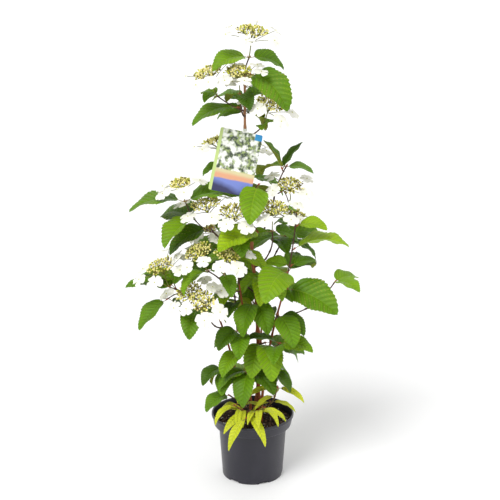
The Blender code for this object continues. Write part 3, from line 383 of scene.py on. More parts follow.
soil_wall = COLLAR_FOOT_RADIUS + (POT_RIM_RADIUS - COLLAR_FOOT_RADIUS) * 0.33 - 2.2 * POT_WALL
soil_top_radii = np.linspace(SOIL_AXIS_RADIUS, soil_wall, SOIL_RINGS)
soil_foot = POT_FLOOR + 0.0005
soil_profile = np.concatenate([
    np.stack([soil_top_radii, np.full(SOIL_RINGS, SOIL_TOP)], 1),
    [(COLLAR_FOOT_RADIUS - POT_WALL * 1.6, COLLAR_FOOT + POT_WALL * 1.6)],
    [(POT_SHOULDER_RADIUS - POT_WALL * 1.5, COLLAR_FOOT)],
    [(POT_FOOT_RADIUS - POT_WALL * 1.5, soil_foot), (SOIL_AXIS_RADIUS, soil_foot)],
])
soil_grid, soil_angles = lathe(soil_profile, SOIL_SIDES)
soil_reach = np.hypot(soil_grid[..., 0], soil_grid[..., 1])
on_top = soil_grid[..., 2] == SOIL_TOP
lumps = 0.0011 * np.abs(waves(soil_grid, 420, 11)) + 0.0007 * waves(soil_grid, 1100, 12)
soil_grid[..., 2] += (soil_waves(soil_reach, soil_angles) + lumps - 0.0004) * on_top

compost = Finish("compost", (40, 31, 26), Roughness=0.95, Specular_IOR_Level=0.25)
compost.paint(((compost.noise(700.0, 4.0) - 0.35) * 3).clipped(), (24, 18, 15), (74, 56, 44))
compost.bump(compost.noise(900.0, 5.0), 0.8, 0.001)
bark_chip = Finish("bark chips", (84, 58, 40), Roughness=0.9)
bark_chip.paint(bark_chip.noise(300.0, 3.0), (44, 30, 22), (120, 86, 60))
perlite = Finish("perlite", (226, 224, 216), Roughness=0.95)
perlite.bump(perlite.noise(1500.0, 3.0), 0.5, 0.0004)


def turned_by(angles, first, second):
    """Two coordinates of lumps' corners, turned together by each lump's angle."""
    share, rest = np.cos(angles)[:, None], np.sin(angles)[:, None]
    return first * share - second * rest, first * rest + second * share


def repeated(faces, count, step):
    """These faces once for each of count shapes of step points."""
    faces = np.asarray(faces)
    return (faces + np.arange(count)[:, None, None] * step).reshape(-1, faces.shape[1])


def scatter_lumps(count, size, flatness, seed, inner, outer):
    """Small irregular eight-cornered lumps, each tipped, turned and set down on the compost."""
    rng = np.random.default_rng(seed)
    cube = np.array([(x, y, z) for z in (-1, 1) for x, y in SQUARE], float)
    corners = cube * rng.uniform(0.55, 1.0, (count, 8, 3))
    corners *= rng.uniform(size * 0.5, size, (count, 1, 1))
    corners *= rng.uniform(0.6, 1.3, (count, 1, 3)) * np.array([1, 1, flatness])
    turn, tip = rng.uniform(0, 2 * math.pi, count), rng.normal(0, 0.35, count)
    x, y, z = (corners[..., axis] for axis in range(3))
    z, x = turned_by(tip, z, x)
    x, y = turned_by(turn, x, y)
    reach = np.sqrt(rng.uniform(inner**2, outer**2, count))
    angle = rng.uniform(0, 2 * math.pi, count)
    level = SOIL_TOP + soil_waves(reach, angle)
    seat = np.stack([reach * np.cos(angle), reach * np.sin(angle), level], -1)
    seat[:, 2] += size * flatness * 0.35
    sides = [(0, 3, 2, 1), (4, 5, 6, 7), (0, 1, 5, 4), (1, 2, 6, 5), (2, 3, 7, 6), (3, 0, 4, 7)]
    return np.stack([x, y, z], -1) + seat[:, None], repeated(sides, count, 8)


soil_shapes = [(soil_grid, [(grid_faces(len(soil_grid), SOIL_SIDES)[:, ::-1], 0)], None)]
for count, size, flatness, seed, inner, margin, kind in (
    (1500, 0.0016, 0.80, 21, 0.000, 0.003, 0),
    (170, 0.0042, 0.35, 22, 0.004, 0.005, 1),
    (90, 0.0017, 0.90, 23, 0.004, 0.004, 2),
):
    lumps, lump_faces = scatter_lumps(count, size, flatness, seed, inner, soil_wall - margin)
    soil_shapes.append((lumps, [(lump_faces, kind)], None))
soil_finishes = [compost, bark_chip, perlite]
add_piece("compost", soil_shapes, soil_finishes, ["potting_soil"], sharp=40)


# Stems and boughs
# Five woody stems grow from one root, each with opposite boughs. The bark is thin and reddish
# brown below, paler above, with raised pores, and it swells to a knot at every pair of old buds.

GAP = 0.0003
ROOT_FLARE = 0.67
ROOT_FLARE_HEIGHT = 0.012
BOUGH_RINGS = 6
SIDE_LIFT = 0.35
TIP = None

Stem = namedtuple(
    "Stem",
    "foot head bow radius tip_radius rings sides sway",
    defaults=(11, 6, (0.0, 0.0)),
)
Bough = namedtuple("Bough", "host height azimuth reach rise radius tip_radius")
Twig = namedtuple("Twig", "path radii facing bend")

STEMS = {
    "trunk": Stem(
        (0.012, 0.000), (-0.017, 0.000, 0.925), (0.002, 0.003), 0.0052, 0.0026,
        rings=20, sides=8, sway=(0.006, 0.0),
    ),
    "stem_right": Stem(
        (0.018, -0.016), (0.068, -0.026, 0.450), (-0.010, -0.004), 0.0036, 0.0021,
    ),
    "stem_left": Stem(
        (-0.022, -0.012), (-0.080, -0.020, 0.402), (0.010, -0.003), 0.0034, 0.0020,
    ),
    "stem_mid_left": Stem(
        (-0.004, -0.020), (-0.030, -0.028, 0.470), (0.007, -0.004), 0.0033, 0.0019,
    ),
    "stem_back": Stem((0.004, 0.020), (0.022, 0.062, 0.400), (0.004, 0.006), 0.0034, 0.0020),
}
BOUGHS = {
    "bough_left_arm": Bough("trunk", 0.528, 187, 0.078, 0.050, 0.0023, 0.0017),
    "bough_right_arm": Bough("trunk", 0.565, 14, 0.048, 0.088, 0.0022, 0.0016),
    "bough_right_front": Bough("trunk", 0.500, 332, 0.036, 0.040, 0.0020, 0.0016),
    "bough_tag_side": Bough("trunk", 0.690, 165, 0.040, 0.026, 0.0019, 0.0015),
    "bough_left_high": Bough("stem_left", TIP, 183, 0.070, 0.044, 0.0019, 0.0015),
    "bough_left_low": Bough("stem_left", 0.365, 207, 0.036, 0.050, 0.0018, 0.0014),
    "bough_left_inner": Bough("stem_left", 0.270, 80, 0.020, 0.120, 0.0017, 0.0013),
    "bough_mid_left": Bough("stem_mid_left", 0.452, 206, 0.042, 0.030, 0.0018, 0.0014),
    "bough_right_outer": Bough("stem_right", 0.392, 352, 0.062, 0.022, 0.0018, 0.0014),
    "bough_back_high": Bough("trunk", 0.610, 95, 0.058, 0.052, 0.0021, 0.0016),
    "bough_back_left": Bough("trunk", 0.440, 138, 0.070, 0.050, 0.0021, 0.0016),
    "bough_back_right": Bough("trunk", 0.465, 48, 0.070, 0.054, 0.0021, 0.0016),
}


def unit(vector):
    return vector / np.linalg.norm(vector)


def direction(azimuth, pitch=0.0):
    """Unit vector at an azimuth and a pitch above level, in degrees."""
    turn, lift = math.radians(azimuth), math.radians(pitch)
    level = math.cos(lift)
    return np.array([math.cos(turn) * level, math.sin(turn) * level, math.sin(lift)])


def arc(start, heading, end, count):
    """Quadratic curve from start along heading to end: (1-t)^2 A + 2t(1-t) C + t^2 B."""
    control = start + heading * 0.45 * np.linalg.norm(end - start)
    t = np.linspace(0, 1, count)[:, None]
    return (1 - t) ** 2 * start + 2 * t * (1 - t) * control + t**2 * end


def tangents(path):
    steps = np.gradient(path, axis=0)
    return steps / np.linalg.norm(steps, axis=1)[:, None]


def point_at(twig, share):
    """Point, tangent and radius of a twig at a share of its length."""
    place = share * (len(twig.path) - 1)
    index = np.arange(len(twig.path))
    slopes = tangents(twig.path)
    point = np.array([np.interp(place, index, twig.path[:, axis]) for axis in range(3)])
    slope = np.array([np.interp(place, index, slopes[:, axis]) for axis in range(3)])
    return point, unit(slope), float(np.interp(place, index, twig.radii))


def share_at(twig, height):
    """Share of a rising twig's length at a height."""
    return float(np.interp(height, twig.path[:, 2], np.linspace(0, 1, len(twig.path))))


def side_root(host, height, azimuth, clearance):
    """Where a limb leaves a stem's side at a height: a point clear of the bark, and its facing."""
    point, slope, radius = point_at(host, share_at(host, height))
    out = direction(azimuth)
    out = unit(out - slope * (out @ slope))
    return point + out * (radius + clearance), out


def stem_line(stem, t):
    """A stem's points foot + (head - foot) t + bow sin(pi t) + sway sin(2 pi t), and its radii."""
    foot = np.array([*stem.foot, SOIL_TOP + GAP])
    path = foot + (np.array(stem.head) - foot) * t[:, None]
    for bend, turns in ((stem.bow, 1), (stem.sway, 2)):
        path[:, :2] += np.array(bend) * np.sin(turns * math.pi * t)[:, None]
    radii = stem.tip_radius + (stem.radius - stem.tip_radius) * (1 - t) ** 1.2
    radii = radii + ROOT_FLARE * stem.radius * np.exp(-(path[:, 2] - foot[2]) / ROOT_FLARE_HEIGHT)
    return path, radii


def bough_twig(bough, host):
    """One tapering limb from its stem's side, or on from its tip."""
    if bough.height is TIP:
        slope = tangents(host.path)[-1]
        root, facing = host.path[-1] + slope * GAP, slope
        heading = unit(slope + direction(bough.azimuth))
    else:
        root, facing = side_root(host, bough.height, bough.azimuth, GAP)
        heading = unit(facing + np.array([0, 0, SIDE_LIFT]))
    end = root + direction(bough.azimuth) * bough.reach + np.array([0, 0, bough.rise])
    path = arc(root, heading, end, BOUGH_RINGS)
    radii = np.linspace(bough.radius, bough.tip_radius, BOUGH_RINGS)
    return Twig(path, radii, facing, (root, heading, end))


def carried_rings(slopes, sides):
    """Rings of unit vectors square to these slopes, carried from one to the next without twist."""
    helper = np.array([0.0, 0.0, 1.0]) if abs(slopes[0][2]) < 0.8 else np.array([1.0, 0.0, 0.0])
    across = unit(np.cross(slopes[0], helper))
    firsts = []
    for slope in slopes:
        across = unit(across - slope * (across @ slope))
        firsts.append(across)
    firsts = np.array(firsts)[:, None]
    angles = even_turns(sides)[None, :, None]
    return np.cos(angles) * firsts + np.sin(angles) * np.cross(slopes[:, None], firsts)


def bark_tube(path, radii, sides, relief=0.0):
    """Closed tube round a path, with UV round and along it.

    The bark's relief is noise drawn out along the stem, as a share of the radius.
    """
    rings = carried_rings(tangents(path), sides)
    along = np.concatenate([[0], np.cumsum(np.linalg.norm(np.diff(path, axis=0), axis=1))])
    size = np.broadcast_to(np.asarray(radii, float)[:, None], rings.shape[:2])
    if relief:
        x, y, z = (rings[..., axis] * 0.9 for axis in range(3))
        down = np.broadcast_to(along[:, None] * 38, x.shape)
        grain = np.stack([x + y, z + y * 0.7, down], -1)
        ridges = waves(grain * np.array([1, 1, 0.35]), 2.6, 31) * 0.6 + waves(grain, 5.0, 32) * 0.4
        size = size * (1 + relief * ridges)
    points = path[:, None] + rings * size[..., None]
    last = (len(path) - 1) * sides
    ends = np.array([np.arange(sides)[::-1], last + np.arange(sides)])
    turn = (np.arange(sides) / sides)[None, :] + 0 * along[:, None]
    uv = np.stack([turn, along[:, None] + 0 * turn], -1)
    return points, [(grid_faces(len(path), sides), 0), (ends, 0)], uv


def knots(along, places, width):
    """Swelling along a stem: a bell curve of 1 at each of these places."""
    return np.exp(-(((along[:, None] - np.asarray(places)[None]) / width) ** 2)).max(1)


limbs = {}
for name, stem in STEMS.items():
    t = np.concatenate([[0, 0.006, 0.016, 0.032], np.linspace(0.06, 1, stem.rings - 4)])
    limbs[name] = Twig(*stem_line(stem, t), np.array([0.0, 0.0, 1.0]), None)
for name, bough in BOUGHS.items():
    limbs[name] = bough_twig(bough, limbs[bough.host])

bark = Finish("bark", (140, 78, 42), Roughness=0.72, Specular_IOR_Level=0.3)
bark_place = bark.place()
up_stem = ((bark.part(bark_place, "Z") - 0.42) * 2.6).clipped()
long_grain = bark.noise(160.0, 4.0, bark.place((1, 1, 0.12)))
low_bark = bark.mix(long_grain, (92, 44, 20), (168, 92, 46))
high_bark = bark.mix(long_grain, (120, 76, 50), (196, 146, 104))
bark_colour = bark.mix(up_stem, low_bark, high_bark)
pores = (1 - bark.cells(230.0, bark.place((1, 1, 0.6))) * 4.5).clipped()
bark.paint(pores * 0.7, bark_colour, (206, 170, 130))
bark.bump(long_grain + pores * 0.6, 0.6, 0.0007)

young_bark = Finish("young bark", (62, 40, 32), Roughness=0.55, Specular_IOR_Level=0.4)
young_grain = young_bark.noise(240.0, 3.0, young_bark.place((1, 1, 0.25)))
young_pores = (1 - young_bark.cells(420.0) * 4.0).clipped()
young_colour = young_bark.mix(young_grain, (40, 26, 24), (96, 60, 40))
young_bark.paint(young_pores * 0.6, young_colour, (150, 118, 88))
young_bark.bump(young_grain + young_pores, 0.4, 0.0004)

stem_shapes = []
for name, stem in STEMS.items():
    rings = 40 + int(260 * stem.head[2])
    t = np.concatenate([np.linspace(-0.008, 0.03, 12), np.linspace(0.036, 1.0, rings)])
    path, radii = stem_line(stem, t)
    radii = radii * (1 + 0.34 * knots(path[:, 2], np.arange(0.19, stem.head[2], 0.052), 0.0042))
    radii = np.minimum(radii, stem.radius * 1.9)
    stem_shapes.append(bark_tube(path, radii, 18, 0.07))
add_piece("stem_bark", stem_shapes, [bark], list(STEMS), sharp=70)

bough_shapes = []
for name, bough in BOUGHS.items():
    root, heading, end = limbs[name].bend
    path = np.concatenate([[root - limbs[name].facing * 0.0014], arc(root, heading, end, 34)])
    shares = np.linspace(0, 1, 35)
    collar = 1 + 0.5 * np.exp(-shares / 0.05)
    radii = (bough.radius + (bough.tip_radius - bough.radius) * shares) * collar
    radii = radii * (1 + 0.3 * knots(shares, [0.36, 0.70, 0.99], 0.03))
    bough_shapes.append(bark_tube(path, radii, 12, 0.05))
add_piece("bough_bark", bough_shapes, [young_bark], list(BOUGHS), sharp=70)


# Hang tag
# A thin printed plastic card with rounded corners, on a strap of the same sheet that is threaded
# round the main stem. Its print is left as plain bands of colour.

TAG_WIDTH = 0.092
TAG_HEIGHT = 0.136
TAG_THICKNESS = 0.0012
TAG_LEAN = 12
TAG_TILT = 9
TAG_HANG_HEIGHT = 0.808
TAG_CORNER = 0.004
STRAP_WIDTH = 0.006
STRAP_THICKNESS = 0.0010
CARD_RINGS = 26
CORNER_STEPS = 9
CARD_SIDES = 4 * CORNER_STEPS
STRAP_RINGS = 48
STRAP_SIDES = 8


def outward(points, faces):
    """The same closed mesh of triangles, with its faces turned to point outwards."""
    points, faces = np.asarray(points, float), np.asarray(faces, int)
    first, second, third = (points[faces[:, corner]] for corner in range(3))
    volume = np.einsum("ij,ij->i", first, np.cross(second, third)).sum()
    return points, faces if volume > 0 else faces[:, ::-1]


def ring_strip(first, second, count):
    """Triangles between two rings of points that start at these indices."""
    faces = []
    for k in range(count):
        a, b = first + k, first + (k + 1) % count
        c, d = second + k, second + (k + 1) % count
        faces += [(a, c, d), (a, d, b)]
    return faces


def end_caps(first, last, count):
    """Fans that close a run of ring strips at its first ring and at its last."""
    faces = [(first, first + k, first + k + 1) for k in range(1, count - 1)]
    return faces + [(last, last + k + 1, last + k) for k in range(1, count - 1)]


def tag_place():
    """The hanging point in front of the trunk, and the card's right, up and outward directions."""
    hang = np.array([-0.0150, -0.0125, TAG_HANG_HEIGHT])
    lean, tilt = math.radians(TAG_LEAN), math.radians(TAG_TILT)
    up = np.array([math.sin(lean), 0, math.cos(lean)])
    right = np.array([math.cos(lean), 0, -math.sin(lean)])
    out = np.array([0.0, -1.0, 0.0])
    share, rest = math.cos(tilt), math.sin(tilt)
    return hang, right, up * share - out * rest, out * share + up * rest


def card_place(flat):
    """Points of the card's flat (across, along) shape, and the card's outward direction."""
    hang, right, up, out = tag_place()
    middle = hang - right * 0.008 - up * (TAG_HEIGHT / 2 + 0.002)
    return middle + flat[..., :1] * right + flat[..., 1:] * up, out


def card_outline(steps):
    """Rounded rectangle as (across, along) points: four quarter circles of steps points."""
    outline = []
    middles = np.array([TAG_WIDTH / 2 - TAG_CORNER, TAG_HEIGHT / 2 - TAG_CORNER])
    for turn, across, along in ((0, 1, 1), (90, -1, 1), (180, -1, -1), (270, 1, -1)):
        corner = middles * (across, along)
        angles = np.radians(turn + np.linspace(0, 90, steps))
        outline.append(corner + np.stack([np.cos(angles), np.sin(angles)], 1) * TAG_CORNER)
    return np.concatenate(outline)


def tag_card():
    """Flat card with round corners, its top edge just under the hanging point."""
    outline, out = card_place(card_outline(3))
    count, half = len(outline), out * TAG_THICKNESS / 2
    points = np.concatenate([outline + half, outline - half])
    return outward(points, ring_strip(0, count, count) + end_caps(0, count, count))


def tag_strap(trunk):
    """Flat ring round the trunk, and a tongue from it forward and down to the card's top edge."""
    centre, _, radius = point_at(trunk, share_at(trunk, TAG_HANG_HEIGHT))
    inner = radius + 0.0007
    outer = inner + STRAP_THICKNESS
    sides = 10
    angles = even_turns(sides)
    points = []
    for reach, height in ((inner, -0.5), (outer, -0.5), (outer, 0.5), (inner, 0.5)):
        level = np.full(sides, height * STRAP_WIDTH)
        flat = [np.cos(angles) * reach, np.sin(angles) * reach, level]
        points.append(centre + np.stack(flat, 1))
    faces = []
    for ring in range(4):
        faces += ring_strip(ring * sides, (ring + 1) % 4 * sides, sides)
    ring = outward(np.concatenate(points), faces)
    hang, right, up, out = tag_place()
    start = centre + np.array([0, -1, 0]) * (inner + STRAP_THICKNESS * 0.5)
    end = hang - up * 0.008 + right * 0.001
    tongue = []
    for place in (start, end):
        lift = np.array([0, 0, 1]) if place is start else out
        for across, high in SQUARE:
            aside = place + right * across * STRAP_WIDTH / 2
            tongue.append(aside + lift * high * STRAP_THICKNESS * 0.6)
    return [ring, outward(tongue, ring_strip(0, 4, 4) + end_caps(0, 4, 4))]


rings_in = np.linspace(1.0, 0.004, CARD_RINGS)
flat = card_outline(CORNER_STEPS)[None] * rings_in[:, None, None]
flat = np.concatenate([flat[::-1], flat])
across, along = flat[..., 0] / (TAG_WIDTH / 2), flat[..., 1] / (TAG_HEIGHT / 2)
# A slow bow across the card and a slight curl at its foot
bow = 0.0016 * across**2 + 0.0024 * np.clip(-along, 0, 1) ** 3
in_front = np.arange(2 * CARD_RINGS) < CARD_RINGS
face_side = np.where(in_front, 1, -1)[:, None] * TAG_THICKNESS * 0.32
card_grid, card_out = card_place(flat)
card_grid = card_grid + (bow + face_side)[..., None] * card_out
card_uv = flat / np.array([TAG_WIDTH, TAG_HEIGHT]) + 0.5
card_faces = grid_faces(2 * CARD_RINGS, CARD_SIDES)[:, ::-1]
card_turn = np.arange(CARD_SIDES)
card_ends = np.array([card_turn, (2 * CARD_RINGS - 1) * CARD_SIDES + card_turn[::-1]])

tag_print = Finish(
    "tag print", (214, 222, 190), Roughness=0.32, Coat_Weight=0.25, Coat_Roughness=0.2,
)
spot = tag_print.node("UVMap", {})
card_x, card_y = tag_print.part(spot, "X"), tag_print.part(spot, "Y")
drift = (tag_print.noise(38.0, 3.0) - 0.5) * 0.10


def past(value, edge, softness=0.006):
    """0 below an edge and 1 above it, with a soft step between."""
    return ((value - edge) / softness + 0.5).clipped()


mottle = ((tag_print.noise(75.0, 2.0) - 0.44) * 7).clipped()
dapple = ((tag_print.noise(160.0, 3.0) - 0.45) * 6).clipped()
leafy = tag_print.mix(dapple, (62, 74, 56), (150, 168, 104))
upper = tag_print.mix(mottle, leafy, (236, 238, 230))
peach = tag_print.mix(past(card_y + drift * 0.4, 0.30, 0.05), (214, 158, 122), (206, 196, 150))
sweep = past(card_y + card_x * 0.16 + drift, 0.17, 0.10)
violet = tag_print.mix(sweep, (44, 46, 84), (112, 128, 196))
lower = tag_print.mix(past(card_y + drift * 0.5, 0.215, 0.02), violet, peach)
print_colour = tag_print.mix(past(card_y, 0.36, 0.02), lower, upper)
print_colour = tag_print.mix(past(0.075 - card_x, 0, 0.006), print_colour, (186, 206, 128))
corner = past(card_x, 0.83) * past(card_y, 0.90)
tag_print.paint(corner, print_colour, (36, 140, 200))
tag_back = Finish("tag sheet", (226, 228, 220), Roughness=0.4)

trunk_line = limbs["trunk"]
strap_solids = tag_strap(trunk_line)
tongue_points, tongue_faces = strap_solids[1]
strap_centre, _, strap_inner = point_at(trunk_line, share_at(trunk_line, TAG_HANG_HEIGHT))
# The strap's section is a thin rounded bar, carried once round the stem
around, section = even_turns(STRAP_RINGS)[:, None], even_turns(STRAP_SIDES)[None]
strap_reach = strap_inner + 0.0012 + 0.00045 * np.cos(section)
strap_rise = STRAP_WIDTH / 2 * np.sin(section) + 0 * around
strap_grid = strap_centre + np.stack([
    strap_reach * np.cos(around), strap_reach * np.sin(around), strap_rise,
], -1)
strap_faces = grid_faces(STRAP_RINGS + 1, STRAP_SIDES)[:, ::-1] % (STRAP_RINGS * STRAP_SIDES)
front_faces = (CARD_RINGS - 1) * CARD_SIDES
card_groups = [(card_faces[:front_faces], 0), (card_faces[front_faces:], 1), (card_ends, 1)]
tag_shapes = [
    (card_grid, card_groups, card_uv),
    (strap_grid, [(strap_faces, 1)], None),
    (tongue_points, [(tongue_faces, 1)], None),
]
add_piece("hang_tag", tag_shapes, [tag_print, tag_back], ["plant_tag"], sharp=40)


# Twigs
# This year's growth: each bough or stem goes on into slender twigs that carry opposite leaves at
# swollen joints. The young bark is smooth and nearly black; the youngest shoots are greener.

LEADER_RADIUS = 0.0019
SHOOT_RADIUS = 0.0015
TWIG_TAPER = 0.72
SHORT_SHOOT = 0.02
PETIOLE_RADIUS = 0.0010
PETIOLE_SHARE = 0.13
PETIOLE_LIFT = 8
LEAF_HALF_WIDTH = 0.32
YOUNG_HALF_WIDTH = 0.122
YOUNG_SWAY = 16
LEAF_SWAY = 7
LIGHT_ROLL = 18
LEAF_ROLL = 18
LEAF_STATIONS = (0.18, 0.48, 0.78)
SMALL_LEAF = 0.086
SMALL_LEAF_STATIONS = (0.22, 0.64)
FLAT_SPREAD = 50
NODE_SPAN = 0.8
LEAF_CLEARANCE = 0.0016
LIMB_ROOM = 0.0008
TWIG_ROOM = 0.0004
CAP_STALK = 0.032
CAP_STALK_RADIUS = 0.0012
USUAL_CAP = 0.062
RAY_RISE = 0.42
DISC_SIDES = 8
FLORETS = 6
FLORET_SIZE = 0.042
FLORET_ROOM = 0.001
FLORET_SHIFTS = ((0, 0.0), (13, 0.05), (-13, 0.05), (0, 0.16))
STALK_RADIUS = 0.0007

Shoot = namedtuple(
    "Shoot",
    "azimuth reach rise share pairs leaf turn pitch droop cap",
    defaults=(None, 1, 0.0, None, 18, 70, 0.0),
)
Leaf = namedtuple("Leaf", "node azimuth pitch droop roll petiole length half_width fold")
Floret = namedtuple("Floret", "centre normal size turn root")
Cap = namedtuple("Cap", "hub axis across stalk places florets")
Foliage = namedtuple("Foliage", "twigs caps leaves")

